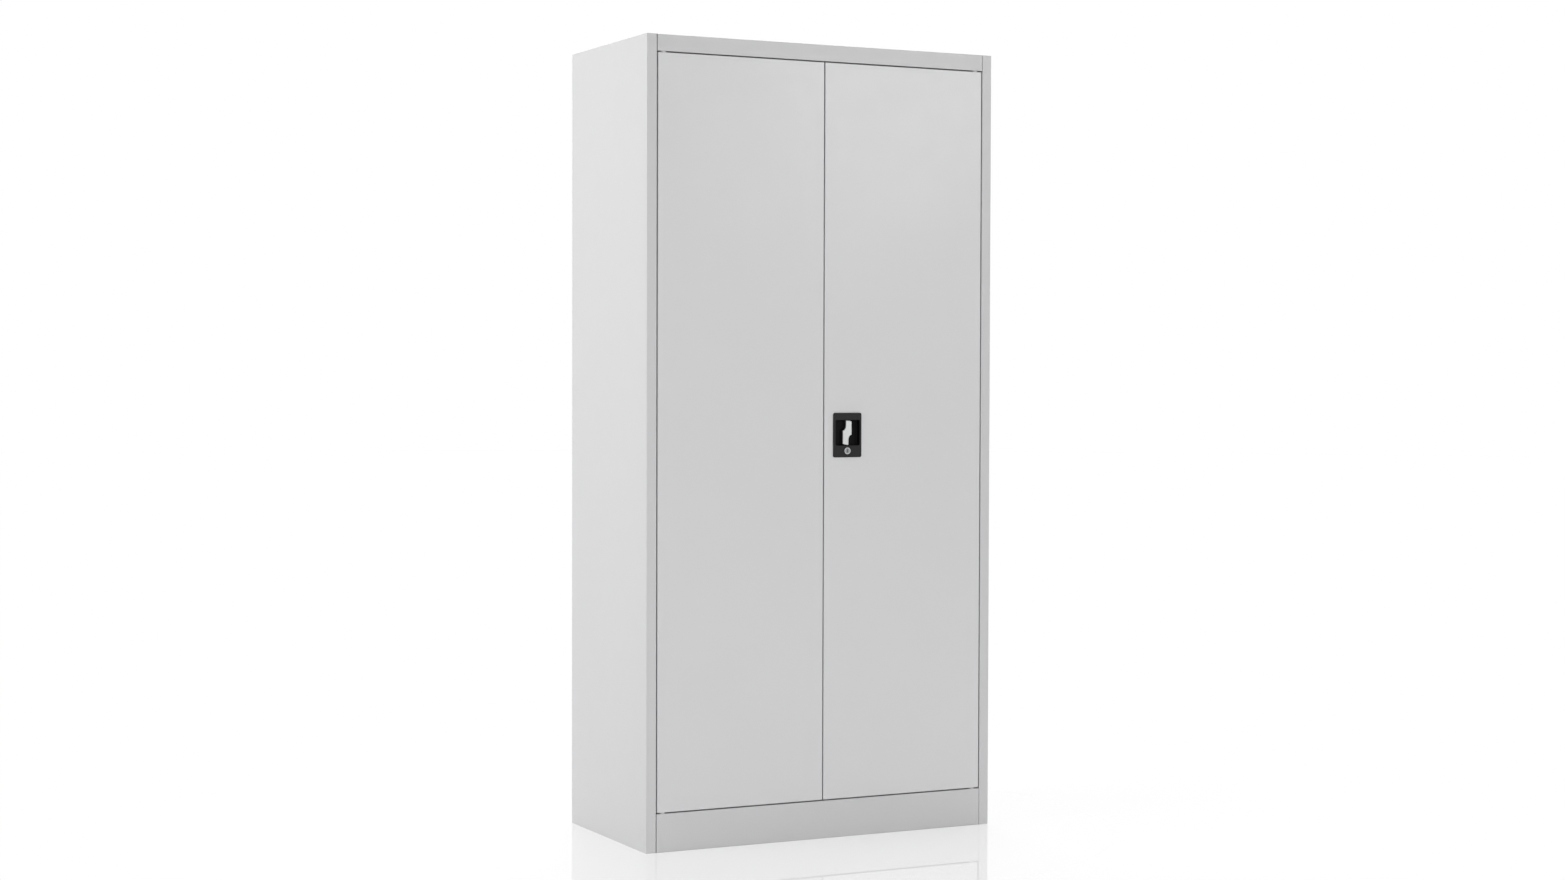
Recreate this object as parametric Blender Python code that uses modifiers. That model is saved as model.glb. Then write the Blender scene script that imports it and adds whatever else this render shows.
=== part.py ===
"""Two-door steel storage cupboard with a turn-knob rod lock.

Metres, +Z up. The doors face -Y. The origin is under the middle of the whole cupboard,
on the floor. Sheet pieces are open surfaces that Solidify gives their steel.
"""

import math

import bmesh
import bpy
from mathutils import Matrix, Vector

# Whole cupboard
WIDTH = 0.900
HEIGHT = 1.850
DEPTH = 0.450

# Steel sheet
SHEET = 0.0008
BEND = 0.0016
FIT = 0.0003
OVERRUN = 0.002

# Front frame, seen from outside
STILE_WIDTH = 0.025
HEADER_HEIGHT = 0.038
PLINTH_HEIGHT = 0.088
POST_LIP = 0.016
REAR_FLANGE = 0.018
STOP_HEIGHT = 0.012
EDGE_FLANGE = 0.020
FOOT_LIP = 0.018

# Doors
DOOR_GAP = 0.0025
DOOR_THICKNESS = 0.025
DOOR_LIP = 0.015
STIFFENER_CROWN = 0.040
STIFFENER_FLANGE = 0.014
STIFFENER_DEPTH = 0.019

# Door pivots
PIN_DIAMETER = 0.008
PIN_HEAD_DIAMETER = 0.011
PIN_HEAD_THICKNESS = 0.003
PIN_CHAMFER = 0.001
PIN_REACH = 0.006
BUSH_WALL = 0.0012
BUSH_RIM = 0.001
BUSH_REACH = 0.003
PIVOT_MARGIN = 0.0006
SWING_GAP = 0.0006
SWING_CLEARANCE = 0.0015

# Door catches
MAGNET_LENGTH = 0.036
MAGNET_EDGE = 0.001
MAGNET_INSET = 0.022
POLE_GROOVE = 0.0015
POLE_GROOVE_DEPTH = 0.0008
BUFFER_DIAMETER = 0.0095
BUFFER_TIP_DIAMETER = 0.007
BUFFER_INSET = 0.120

# Slotted uprights, shelves and clips
UPRIGHT_CROWN = 0.026
UPRIGHT_FLANGE = 0.008
UPRIGHT_DEPTH = 0.010
UPRIGHT_SETBACK = 0.062
SLOT_LENGTH = 0.018
SLOT_HEIGHT = 0.004
SLOT_PITCH = 0.050
CLIP_WIDTH = 0.016
CLIP_THICKNESS = 0.0015
CLIP_BEND = 0.0012
CLIP_HOOK = 0.006
CLIP_DROP = 0.012
CLIP_LEDGE = 0.012
SHELF_HEIGHT = 0.025
SHELF_LIP = 0.015
SHELF_SETBACK = 0.009
SHELF_REAR_GAP = 0.010

# Lock housing on the right door
HOUSING_WIDTH = 0.074
HOUSING_HEIGHT = 0.104
HOUSING_INSET = 0.0228
HOUSING_LEVEL = 0.9433
HOUSING_PROUD = 0.0035
HOUSING_CORNER = 0.004
HOUSING_EDGE = 0.0008
HOUSING_RIM = 0.0035
HOUSING_DEPTH = 0.011
RECESS_WIDTH = 0.064
RECESS_HEIGHT = 0.060
RECESS_FLOOR = 0.002
RECESS_CORNER = 0.003
RECESS_COVE = 0.002
RECESS_RISE = 0.0055

# Turn knob
KNOB_RADIUS = 0.0292
KNOB_HALF_WIDTH = 0.0117
KNOB_LOBE_EDGE = 0.0036
KNOB_SHOULDER_LOW = 0.0055
KNOB_SHOULDER_HIGH = 0.0165
KNOB_SINK = 0.001
KNOB_LIFT = 0.0015
KNOB_CHAMFER = 0.0012
SPINDLE_DIAMETER = 0.012
SPINDLE_SQUARE = 0.007

# Key cylinder
KEY_DIAMETER = 0.016
KEY_DROP = 0.0423
KEY_PROUD = 0.0005
KEY_CHAMFER = 0.0006
PLUG_DIAMETER = 0.0105
PLUG_SINK = 0.0004
PLUG_SQUARE = 0.005
KEYWAY_WIDTH = 0.0018
KEYWAY_HEIGHT = 0.0075
KEYWAY_DEPTH = 0.008
LEVER_HALF_WIDTH = 0.0035

# Disc and rods
DISC_DIAMETER = 0.060
DISC_THICKNESS = 0.003
DISC_SETBACK = 0.002
DISC_SLOT_START = 0.0085
ROD_TRAVEL = 0.0115
ROD_PIN_DIAMETER = 0.005
ROD_RIVET_DIAMETER = 0.003
ROD_WIDTH = 0.012
ROD_THICKNESS = 0.003
ROD_SETBACK = 0.0015
ROD_EDGE = 0.0004
ROD_SINK = 0.0025
LEVER_BITE = 0.003
LEVER_CLEARANCE = 0.0025
COVER_SIDE_GAP = 0.0022
GUIDE_WIDTH = 0.024
GUIDE_HEIGHT = 0.016
ROD_CLEARANCE = 0.0008

# Counts and shares that carry no length
BEND_STEPS = 2
BEND_ANGLE = math.radians(30)
ROUND_STEPS = 24
DISC_STEPS = 48
CORNER_STEPS = 3
SPIRAL_STEPS = 14
ARC_STEPS = 5
KNOB_TURN = math.radians(90)
SHOULDER_TURN = math.radians(90)
SHELF_LEVEL_SHARES = (0.2, 0.41, 0.61, 0.82)
UNIT = 1.0
SEAM_MERGE = 0.00001

# Worked out from the sizes above
PROUD = HOUSING_PROUD + KEY_PROUD
FRONT_Y = (PROUD - DEPTH) / 2
HEADER_LEVEL = HEIGHT - HEADER_HEIGHT
FOLD_NOTCH = BEND + SHEET
BUSH_BORE = PIN_DIAMETER + 2 * FIT
BUSH_DIAMETER = BUSH_BORE + 2 * BUSH_WALL
BUSH_RIM_DIAMETER = BUSH_DIAMETER + 2 * BUSH_RIM
PIVOT_DEPTH = SHEET + PIVOT_MARGIN + BUSH_RIM_DIAMETER / 2
PIVOT_BULGE = DOOR_GAP - SWING_GAP
PIVOT_INSET = (PIVOT_DEPTH**2 - PIVOT_BULGE**2) / (2 * PIVOT_BULGE)
POST_DEPTH = PIVOT_DEPTH + math.hypot(PIVOT_INSET, DOOR_THICKNESS - PIVOT_DEPTH) + SWING_CLEARANCE
HINGE_EDGE = STILE_WIDTH + DOOR_GAP
PIVOT_X = WIDTH / 2 - HINGE_EDGE - PIVOT_INSET
DOOR_BOTTOM = PLINTH_HEIGHT + DOOR_GAP
DOOR_TOP = HEADER_LEVEL - DOOR_GAP
DOOR_WIDTH = WIDTH / 2 - HINGE_EDGE - DOOR_GAP / 2
FLOOR_LEVEL = PLINTH_HEIGHT + STOP_HEIGHT
INNER_EDGE = SHEET + FIT
BACK_FACE = DEPTH - SHEET - FIT
LOCK_X = DOOR_GAP / 2 + HOUSING_INSET + HOUSING_WIDTH / 2
KNOB_LEVEL = HOUSING_LEVEL + RECESS_RISE
KEY_LEVEL = KNOB_LEVEL - KEY_DROP
DISC_FRONT = HOUSING_DEPTH + DISC_SETBACK
DISC_BACK = DISC_FRONT + DISC_THICKNESS
ROD_FRONT = DISC_BACK + ROD_SETBACK
ROD_BACK = ROD_FRONT + ROD_THICKNESS
DISC_SLOT_WIDTH = ROD_PIN_DIAMETER + 2 * FIT
LEVER_REACH = KEY_DROP - DISC_DIAMETER / 2 + LEVER_BITE
SLOT_BASE = FLOOR_LEVEL + SLOT_PITCH


def empty_collection(name):
    """A new collection in the scene."""
    made = bpy.data.collections.new(name)
    bpy.context.scene.collection.children.link(made)
    return made


def at(x, depth, z):
    """A point from its place across, its depth behind the front face and its height."""
    return Vector((x, FRONT_Y + depth, z))


def from_side(side, inward):
    """The x of a point that lies inward from the outer face of one side (-1 left, 1 right)."""
    return side * (WIDTH / 2 - inward)


# Finishes: linear colour, roughness and metallic value of each

FINISHES = {
    "grey paint": ((0.62, 0.63, 0.64), 0.38, 0.0),
    "zinc plate": ((0.60, 0.61, 0.62), 0.35, 1.0),
    "bright steel": ((0.56, 0.57, 0.58), 0.25, 1.0),
    "black plastic": ((0.012, 0.012, 0.013), 0.42, 0.0),
    "satin chrome": ((0.72, 0.72, 0.72), 0.3, 1.0),
    "polished chrome": ((0.66, 0.67, 0.68), 0.12, 1.0),
    "white nylon": ((0.78, 0.77, 0.72), 0.5, 0.0),
    "black rubber": ((0.02, 0.02, 0.02), 0.8, 0.0),
}


def give_finish(piece, finish):
    """A Principled material of the piece's own."""
    colour, roughness, metallic = FINISHES[finish]
    material = bpy.data.materials.new(f"{piece.name} {finish}")
    material.use_nodes = True
    shader = material.node_tree.nodes["Principled BSDF"]
    shader.inputs["Base Color"].default_value = (*colour, 1.0)
    shader.inputs["Roughness"].default_value = roughness
    shader.inputs["Metallic"].default_value = metallic
    piece.data.materials.append(material)


def new_object(name, bm, collection, origin):
    """An object whose mesh is drawn in world places, with its own origin set apart."""
    bmesh.ops.translate(bm, verts=bm.verts, vec=-origin)
    mesh = bpy.data.meshes.new(name)
    bm.to_mesh(mesh)
    bm.free()
    made = bpy.data.objects.new(name, mesh)
    made.location = origin
    collection.objects.link(made)
    return made


def carry(piece, carrier):
    """Parents a piece to the empty that carries it, without moving the piece."""
    if carrier is not None:
        piece.location -= carrier.location
        piece.parent = carrier


def add_piece(name, bm, finish, carrier=None):
    """One sub-part. Its origin is the carrier's when it has one."""
    origin = carrier.location.copy() if carrier is not None else Vector((0, 0, 0))
    piece = new_object(name, bm, PARTS, origin)
    carry(piece, carrier)
    give_finish(piece, finish)
    return piece


def add_tool(name, bm):
    """A shape that cuts a piece or is joined to one."""
    made = new_object(name, bm, CUTTERS, Vector((0, 0, 0)))
    made.hide_render = True
    made.display_type = "WIRE"
    return made


def combine(piece, tool, operation):
    """Cuts a tool from a piece, or joins it to the piece."""
    change = piece.modifiers.new(tool.name, "BOOLEAN")
    change.operation = operation
    change.object = tool
    change.solver = "EXACT"


def cut(piece, bm):
    """Cuts the bodies of a mesh out of a piece."""
    combine(piece, add_tool(f"{piece.name}_cut_{len(piece.modifiers)}", bm), "DIFFERENCE")


def join(piece, bm):
    """Joins the bodies of a mesh to a piece."""
    combine(piece, add_tool(f"{piece.name}_join_{len(piece.modifiers)}", bm), "UNION")


def make_sheet(piece, wall=SHEET, bend=BEND, middle=False):
    """Rounds the folds of an open surface and gives it its thickness, inward from its faces."""
    folds = piece.modifiers.new("Folds", "BEVEL")
    folds.width = bend
    folds.segments = BEND_STEPS
    folds.limit_method = "ANGLE"
    folds.angle_limit = BEND_ANGLE
    steel = piece.modifiers.new("Sheet", "SOLIDIFY")
    steel.thickness = wall
    steel.offset = 0 if middle else -1
    steel.use_even_offset = True


def face_out(bm, outward):
    """Turns an open surface so that its largest face looks outward."""
    bmesh.ops.recalc_face_normals(bm, faces=bm.faces)
    largest = max(bm.faces, key=lambda face: face.calc_area())
    if largest.normal.dot(outward) < 0:
        bmesh.ops.reverse_faces(bm, faces=bm.faces)


def folded_strip(profile, stations, place, outward):
    """Carries a profile's points through the stations, as one open surface."""
    bm = bmesh.new()
    verts = [bm.verts.new(place(point, stations[0])) for point in profile]
    edges = [bm.edges.new(pair) for pair in zip(verts, verts[1:])]
    for previous, station in zip(stations, stations[1:]):
        made = bmesh.ops.extrude_edge_only(bm, edges=edges)["geom"]
        verts = [item for item in made if isinstance(item, bmesh.types.BMVert)]
        edges = [item for item in made if isinstance(item, bmesh.types.BMEdge)]
        shift = place(profile[0], station) - place(profile[0], previous)
        bmesh.ops.translate(bm, verts=verts, vec=shift)
    face_out(bm, outward)
    return bm


def drop_faces(bm, unwanted):
    """Removes the faces whose centre the test picks."""
    faces = [face for face in bm.faces if unwanted(face.calc_center_median())]
    bmesh.ops.delete(bm, geom=faces, context="FACES")


def turn_down(bm, x, length):
    """Folds a flange down from the free edges that run front to back at one x."""
    near = lambda vert: math.isclose(vert.co.x, x, abs_tol=SEAM_MERGE)
    edges = [edge for edge in bm.edges if edge.is_boundary and all(near(v) for v in edge.verts)]
    made = bmesh.ops.extrude_edge_only(bm, edges=edges)["geom"]
    verts = [item for item in made if isinstance(item, bmesh.types.BMVert)]
    bmesh.ops.translate(bm, verts=verts, vec=Vector((0, 0, -length)))


def add_block(bm, low, high):
    """A box between two corners, added to a mesh. Returns its vertices."""
    span = high - low
    centre = (low + high) / 2
    scale = Matrix.Diagonal((*span, UNIT))
    made = bmesh.ops.create_cube(bm, size=UNIT, matrix=Matrix.Translation(centre) @ scale)
    return made["verts"]


def add_cylinder(bm, centre, axis, diameter, length, steps=ROUND_STEPS):
    """A closed cylinder about a point, added to a mesh."""
    turn = Vector((0, 0, UNIT)).rotation_difference(axis).to_matrix().to_4x4()
    bmesh.ops.create_cone(
        bm, cap_ends=True, segments=steps, radius1=diameter / 2, radius2=diameter / 2,
        depth=length, matrix=Matrix.Translation(centre) @ turn)


def edges_at(bm, y):
    """The edges that lie whole at one y."""
    level = lambda vert: math.isclose(vert.co.y, y, abs_tol=SEAM_MERGE)
    return [edge for edge in bm.edges if all(level(vert) for vert in edge.verts)]


def bevel_edges(bm, edges, width, steps):
    """Rounds some edges of a mesh, or bevels them where there is one step."""
    bmesh.ops.bevel(bm, geom=edges, offset=width, segments=steps, profile=0.5, affect="EDGES")


def rounded_block(low, high, corner, edge, steps=CORNER_STEPS):
    """A box whose four front-to-back edges are rounded, and whose front rim has a small bevel."""
    bm = bmesh.new()
    add_block(bm, low, high)
    deep = (high.y - low.y) / 2
    along = [e for e in bm.edges if abs((e.verts[0].co - e.verts[1].co).y) > deep]
    bevel_edges(bm, along, corner, steps)
    if edge > 0:
        bevel_edges(bm, edges_at(bm, low.y), edge, 1)
    return bm


def pan(low, high, open_towards, lip):
    """A tray: a box open on one side, with a lip turned in round the opening."""
    bm = bmesh.new()
    add_block(bm, low, high)
    bm.faces.ensure_lookup_table()
    face_out(bm, max(bm.faces, key=lambda face: face.calc_area()).normal.copy())
    opening = max(bm.faces, key=lambda face: face.normal.dot(open_towards))
    if lip > 0:
        bmesh.ops.inset_individual(bm, faces=[opening], thickness=lip, use_even_offset=True)
    bmesh.ops.delete(bm, geom=[opening], context="FACES")
    return bm


def add_turned(name, profile, finish, carrier, place, flipped=False):
    """A turned piece: a profile of radius and height, swept round its own Z."""
    bm = bmesh.new()
    verts = [bm.verts.new((radius, 0, height)) for radius, height in profile]
    ring = list(zip(verts, verts[1:]))
    if profile[0][0] > 0:
        ring.append((verts[-1], verts[0]))
    for pair in ring:
        bm.edges.new(pair)
    piece = new_object(name, bm, PARTS, Vector((0, 0, 0)))
    piece.location = place
    if flipped:
        piece.rotation_euler = (math.pi, 0, 0)
    carry(piece, carrier)
    give_finish(piece, finish)
    sweep = piece.modifiers.new("Turn", "SCREW")
    sweep.steps = ROUND_STEPS
    sweep.render_steps = ROUND_STEPS
    sweep.use_merge_vertices = True
    sweep.merge_threshold = SEAM_MERGE
    sweep.use_smooth_shade = True
    return piece


# Carcass

def side_panel(side, name):
    """Side sheet, folded at the front into the stile and its hollow post, and at the back."""
    profile = (
        (STILE_WIDTH - POST_LIP, POST_DEPTH), (STILE_WIDTH, POST_DEPTH), (STILE_WIDTH, 0),
        (0, 0), (0, DEPTH), (REAR_FLANGE, DEPTH))
    place = lambda point, z: at(from_side(side, point[0]), point[1], z)
    bm = folded_strip(profile, (0, HEIGHT), place, Vector((side, 0, 0)))
    piece = add_piece(name, bm, "grey paint")
    make_sheet(piece)
    under_top = bmesh.new()
    corners = [
        at(from_side(side, INNER_EDGE), FOLD_NOTCH - FIT, HEIGHT - INNER_EDGE),
        at(from_side(side, STILE_WIDTH + OVERRUN), POST_DEPTH + OVERRUN, HEIGHT + OVERRUN)]
    add_block(under_top, Vector(map(min, *corners)), Vector(map(max, *corners)))
    cut(piece, under_top)


def top_panel():
    """Top sheet, folded down into the header, back under it and down again as the door stop."""
    profile = (
        (POST_DEPTH, HEADER_LEVEL - STOP_HEIGHT), (POST_DEPTH, HEADER_LEVEL), (0, HEADER_LEVEL),
        (0, HEIGHT), (FOLD_NOTCH, HEIGHT), (DEPTH - FOLD_NOTCH, HEIGHT), (DEPTH, HEIGHT),
        (DEPTH, HEIGHT - EDGE_FLANGE))
    outer = WIDTH / 2 - INNER_EDGE
    middle = WIDTH / 2 - REAR_FLANGE - FIT
    inner = WIDTH / 2 - STILE_WIDTH - FIT
    stations = (-outer, -middle, -inner, inner, middle, outer)
    place = lambda point, x: at(x, point[0], point[1])
    bm = folded_strip(profile, stations, place, Vector((0, 0, 1)))

    def over_corner(centre):
        front = centre.y < FRONT_Y + FOLD_NOTCH or centre.z < HEADER_LEVEL
        behind = centre.y > FRONT_Y + DEPTH - FOLD_NOTCH
        post = abs(centre.x) > inner and (front or centre.z < HEIGHT - EDGE_FLANGE)
        return post or (abs(centre.x) > middle and behind)

    drop_faces(bm, over_corner)
    turn_down(bm, outer, EDGE_FLANGE)
    turn_down(bm, -outer, EDGE_FLANGE)
    face_out(bm, Vector((0, 0, 1)))
    piece = add_piece("top_panel", bm, "grey paint")
    make_sheet(piece)
    cut_frame_holes(piece, HEADER_LEVEL, 1)


def bottom_panel():
    """Floor sheet, stepped down into the sill, the plinth and a lip that stands on the floor."""
    rear = BACK_FACE - INNER_EDGE
    profile = (
        (FOOT_LIP, 0), (0, 0), (0, PLINTH_HEIGHT), (POST_DEPTH, PLINTH_HEIGHT),
        (POST_DEPTH, FLOOR_LEVEL), (POST_DEPTH + FOLD_NOTCH, FLOOR_LEVEL), (rear, FLOOR_LEVEL),
        (rear, FLOOR_LEVEL - EDGE_FLANGE))
    outer = WIDTH / 2 - INNER_EDGE
    inner = WIDTH / 2 - STILE_WIDTH - FIT
    place = lambda point, x: at(x, point[0], point[1])
    bm = folded_strip(profile, (-outer, -inner, inner, outer), place, Vector((0, 0, 1)))

    def beside_floor(centre):
        level = math.isclose(centre.z, FLOOR_LEVEL, abs_tol=SEAM_MERGE)
        return abs(centre.x) > inner and (not level or centre.y < FRONT_Y + POST_DEPTH + FOLD_NOTCH)

    drop_faces(bm, beside_floor)
    turn_down(bm, outer, EDGE_FLANGE)
    turn_down(bm, -outer, EDGE_FLANGE)
    face_out(bm, Vector((0, 0, 1)))
    piece = add_piece("bottom_panel", bm, "grey paint")
    make_sheet(piece)
    cut_frame_holes(piece, PLINTH_HEIGHT, -1)


def cut_frame_holes(piece, level, up):
    """Bush holes and the rod's slot in the header's return or in the sill."""
    bm = bmesh.new()
    middle = level + up * SHEET / 2
    length = SHEET + 2 * OVERRUN
    for side in (-1, 1):
        hole = at(side * PIVOT_X, PIVOT_DEPTH, middle)
        add_cylinder(bm, hole, Vector((0, 0, UNIT)), BUSH_DIAMETER + 2 * FIT, length)
    reach = Vector((ROD_WIDTH / 2 + ROD_CLEARANCE, 0, length / 2))
    add_block(bm, at(LOCK_X, ROD_FRONT - ROD_CLEARANCE, middle) - reach,
              at(LOCK_X, ROD_BACK + ROD_CLEARANCE, middle) + reach)
    cut(piece, bm)


def back_panel():
    """Plain back sheet inside the rear flanges, with a lip that stands on the floor."""
    edge = WIDTH / 2 - FOLD_NOTCH
    profile = ((BACK_FACE, HEIGHT - FOLD_NOTCH), (BACK_FACE, 0), (BACK_FACE - FOOT_LIP, 0))
    place = lambda point, x: at(x, point[0], point[1])
    bm = folded_strip(profile, (-edge, edge), place, Vector((0, 1, 0)))
    make_sheet(add_piece("back_panel", bm, "grey paint"))


# Slotted uprights, shelves and their clips

def upright(side, centre, name):
    """Hat-section strip on the side sheet, with a row of slots for the shelf clips."""
    half = UPRIGHT_CROWN / 2
    foot = INNER_EDGE + SHEET
    crown = foot + UPRIGHT_DEPTH - SHEET
    profile = (
        (foot, centre - half - UPRIGHT_FLANGE), (foot, centre - half), (crown, centre - half),
        (crown, centre + half), (foot, centre + half), (foot, centre + half + UPRIGHT_FLANGE))
    place = lambda point, z: at(from_side(side, point[0]), point[1], z)
    top = HEIGHT - EDGE_FLANGE - FIT
    bm = folded_strip(profile, (FLOOR_LEVEL + FIT, top), place, Vector((-side, 0, 0)))
    piece = add_piece(name, bm, "grey paint")
    make_sheet(piece)
    slots = bmesh.new()
    for index in range(slot_count(top)):
        middle = at(from_side(side, crown), centre, SLOT_BASE + index * SLOT_PITCH)
        reach = Vector((SHEET + OVERRUN, SLOT_LENGTH / 2, SLOT_HEIGHT / 2))
        add_block(slots, middle - reach, middle + reach)
    cut(piece, slots)


def slot_count(top):
    """How many slots fit between the lowest one and the strip's top end."""
    return int((top - SLOT_BASE) / SLOT_PITCH) + 1


def slot_nearest(level):
    """The height of the slot nearest to a level."""
    return SLOT_BASE + round((level - SLOT_BASE) / SLOT_PITCH) * SLOT_PITCH


def clip_lines():
    """Where a clip's hook, plate and ledge end lie, inward from the outer side face."""
    crown = INNER_EDGE + UPRIGHT_DEPTH
    hook = crown - SHEET - FIT - CLIP_THICKNESS / 2
    plate = crown + FIT + CLIP_THICKNESS / 2
    return hook, plate, plate + CLIP_LEDGE


def shelf_clip(side, centre, slot, name):
    """Bent strip: a hook through the slot, a plate down the upright and a ledge for the shelf."""
    hook, plate, end = clip_lines()
    profile = (
        (hook, slot - CLIP_HOOK), (hook, slot), (plate, slot), (plate, slot - CLIP_DROP),
        (end, slot - CLIP_DROP))
    place = lambda point, depth: at(from_side(side, point[0]), depth, point[1])
    edges = (centre - CLIP_WIDTH / 2, centre + CLIP_WIDTH / 2)
    bm = folded_strip(profile, edges, place, Vector((-side, 0, 0)))
    make_sheet(add_piece(name, bm, "zinc plate"), CLIP_THICKNESS, CLIP_BEND, middle=True)


def shelf(slot, name):
    """Tray with turned-in lips, which rest on four clips."""
    _, plate, _ = clip_lines()
    edge = WIDTH / 2 - plate - CLIP_THICKNESS / 2 - FIT
    underside = slot - CLIP_DROP + CLIP_THICKNESS / 2 + FIT
    low = at(-edge, POST_DEPTH + SHELF_SETBACK, underside)
    high = at(edge, BACK_FACE - SHELF_REAR_GAP, underside + SHELF_HEIGHT)
    bm = pan(low, high, Vector((0, 0, -1)), SHELF_LIP)
    make_sheet(add_piece(name, bm, "grey paint"))


def interior():
    """Four uprights, and the shelves with their clips."""
    places = []
    for side, side_name in ((-1, "left"), (1, "right")):
        for end_name, centre in (("front", UPRIGHT_SETBACK), ("rear", DEPTH - UPRIGHT_SETBACK)):
            upright(side, centre, f"{end_name}_{side_name}_upright")
            places.append((side, centre, f"{end_name}_{side_name}"))
    for index, share in enumerate(SHELF_LEVEL_SHARES, start=1):
        slot = slot_nearest(FLOOR_LEVEL + share * (HEADER_LEVEL - FLOOR_LEVEL))
        shelf(slot, f"shelf_{index}")
        for side, centre, corner in places:
            shelf_clip(side, centre, slot, f"shelf_{index}_clip_{corner}")


# Doors

def door_span(side):
    """The x of a door's outer edges, lower one first."""
    hinge = from_side(side, HINGE_EDGE)
    closing = hinge - side * DOOR_WIDTH
    return min(hinge, closing), max(hinge, closing)


def door_panel(side, name, carrier):
    """Door tray with its skin in front and its lip behind, and holes for the two pins."""
    left, right = door_span(side)
    low = at(left, 0, DOOR_BOTTOM)
    high = at(right, DOOR_THICKNESS, DOOR_TOP)
    bm = pan(low, high, Vector((0, 1, 0)), DOOR_LIP)
    piece = add_piece(name, bm, "grey paint", carrier)
    make_sheet(piece)
    holes = bmesh.new()
    for level in (DOOR_BOTTOM + SHEET / 2, DOOR_TOP - SHEET / 2):
        place = at(side * PIVOT_X, PIVOT_DEPTH, level)
        add_cylinder(holes, place, Vector((0, 0, UNIT)), BUSH_BORE, SHEET + 2 * OVERRUN)
    cut(piece, holes)
    return piece


def door_stiffener(side, name, carrier):
    """Hat section up the middle of a door, fixed to the back of its skin."""
    left, right = door_span(side)
    middle = (left + right) / 2
    half = STIFFENER_CROWN / 2
    foot = INNER_EDGE + SHEET
    crown = INNER_EDGE + STIFFENER_DEPTH
    profile = (
        (middle - half - STIFFENER_FLANGE, foot), (middle - half, foot), (middle - half, crown),
        (middle + half, crown), (middle + half, foot), (middle + half + STIFFENER_FLANGE, foot))
    place = lambda point, z: at(point[0], point[1], z)
    levels = (DOOR_BOTTOM + INNER_EDGE, DOOR_TOP - INNER_EDGE)
    bm = folded_strip(profile, levels, place, Vector((0, 1, 0)))
    make_sheet(add_piece(name, bm, "grey paint", carrier))


def pivot(side, name, level, upper, carrier):
    """A door's pin and the nylon bush that it turns in, above the door or, flipped, below it."""
    up = 1 if upper else -1
    head = PIN_HEAD_DIAMETER / 2
    shank = PIN_DIAMETER / 2
    under = -DOOR_GAP - INNER_EDGE
    rim = FIT - DOOR_GAP
    pin = (
        (0, PIN_REACH), (shank - PIN_CHAMFER, PIN_REACH), (shank, PIN_REACH - PIN_CHAMFER),
        (shank, under), (head, under), (head, under - PIN_HEAD_THICKNESS),
        (0, under - PIN_HEAD_THICKNESS))
    bush = (
        (BUSH_DIAMETER / 2, BUSH_REACH), (BUSH_DIAMETER / 2, -FIT), (BUSH_RIM_DIAMETER / 2, -FIT),
        (BUSH_RIM_DIAMETER / 2, rim), (BUSH_BORE / 2, rim), (BUSH_BORE / 2, BUSH_REACH))
    place = at(side * PIVOT_X, PIVOT_DEPTH, level)
    add_turned(f"{name}_pin", pin, "bright steel", carrier, place, up < 0)
    add_turned(f"{name}_bush", bush, "white nylon", None, place, up < 0)


def magnet(level, name):
    """Magnetic catch on the door stop, with two grooves beside its pole plates."""
    middle = -DOOR_GAP / 2 - MAGNET_INSET - MAGNET_LENGTH / 2
    front = DOOR_THICKNESS + FIT
    half = STOP_HEIGHT / 2 - FIT - SHEET
    low = at(middle - MAGNET_LENGTH / 2, front, level - half)
    high = at(middle + MAGNET_LENGTH / 2, POST_DEPTH - FIT, level + half)
    piece = add_piece(name, rounded_block(low, high, MAGNET_EDGE, 0), "black plastic")
    grooves = bmesh.new()
    for up in (-1, 1):
        centre = level + up * half / 2
        reach = Vector((MAGNET_LENGTH / 2 + OVERRUN, 0, POLE_GROOVE / 2))
        add_block(grooves, at(middle, front - OVERRUN, centre) - reach,
                  at(middle, front + POLE_GROOVE_DEPTH, centre) + reach)
    cut(piece, grooves)


def buffer(level, name):
    """Rubber button on the door stop, behind the right door."""
    length = POST_DEPTH - DOOR_THICKNESS - 2 * FIT
    profile = (
        (0, length), (BUFFER_TIP_DIAMETER / 2, length), (BUFFER_DIAMETER / 2, 0), (0, 0))
    place = at(DOOR_GAP / 2 + BUFFER_INSET, POST_DEPTH - FIT, level)
    piece = add_turned(name, profile, "black rubber", None, place)
    piece.rotation_euler = (math.pi / 2, 0, 0)


def doors(left_pivot, right_pivot):
    """Both doors with their stiffeners, pins, bushes and stops."""
    door_panel(-1, "left_door_panel", left_pivot)
    right = door_panel(1, "right_door_panel", right_pivot)
    cut_lock_openings(right)
    door_stiffener(-1, "left_door_stiffener", left_pivot)
    door_stiffener(1, "right_door_stiffener", right_pivot)
    for side, side_name, carrier in ((-1, "left", left_pivot), (1, "right", right_pivot)):
        pivot(side, f"{side_name}_door_upper", HEADER_LEVEL, True, carrier)
        pivot(side, f"{side_name}_door_lower", PLINTH_HEIGHT, False, carrier)
    upper = HEADER_LEVEL - STOP_HEIGHT / 2
    lower = PLINTH_HEIGHT + STOP_HEIGHT / 2
    for level, end_name in ((upper, "upper"), (lower, "lower")):
        magnet(level, f"{end_name}_magnet")
        buffer(level, f"{end_name}_buffer")


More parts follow.
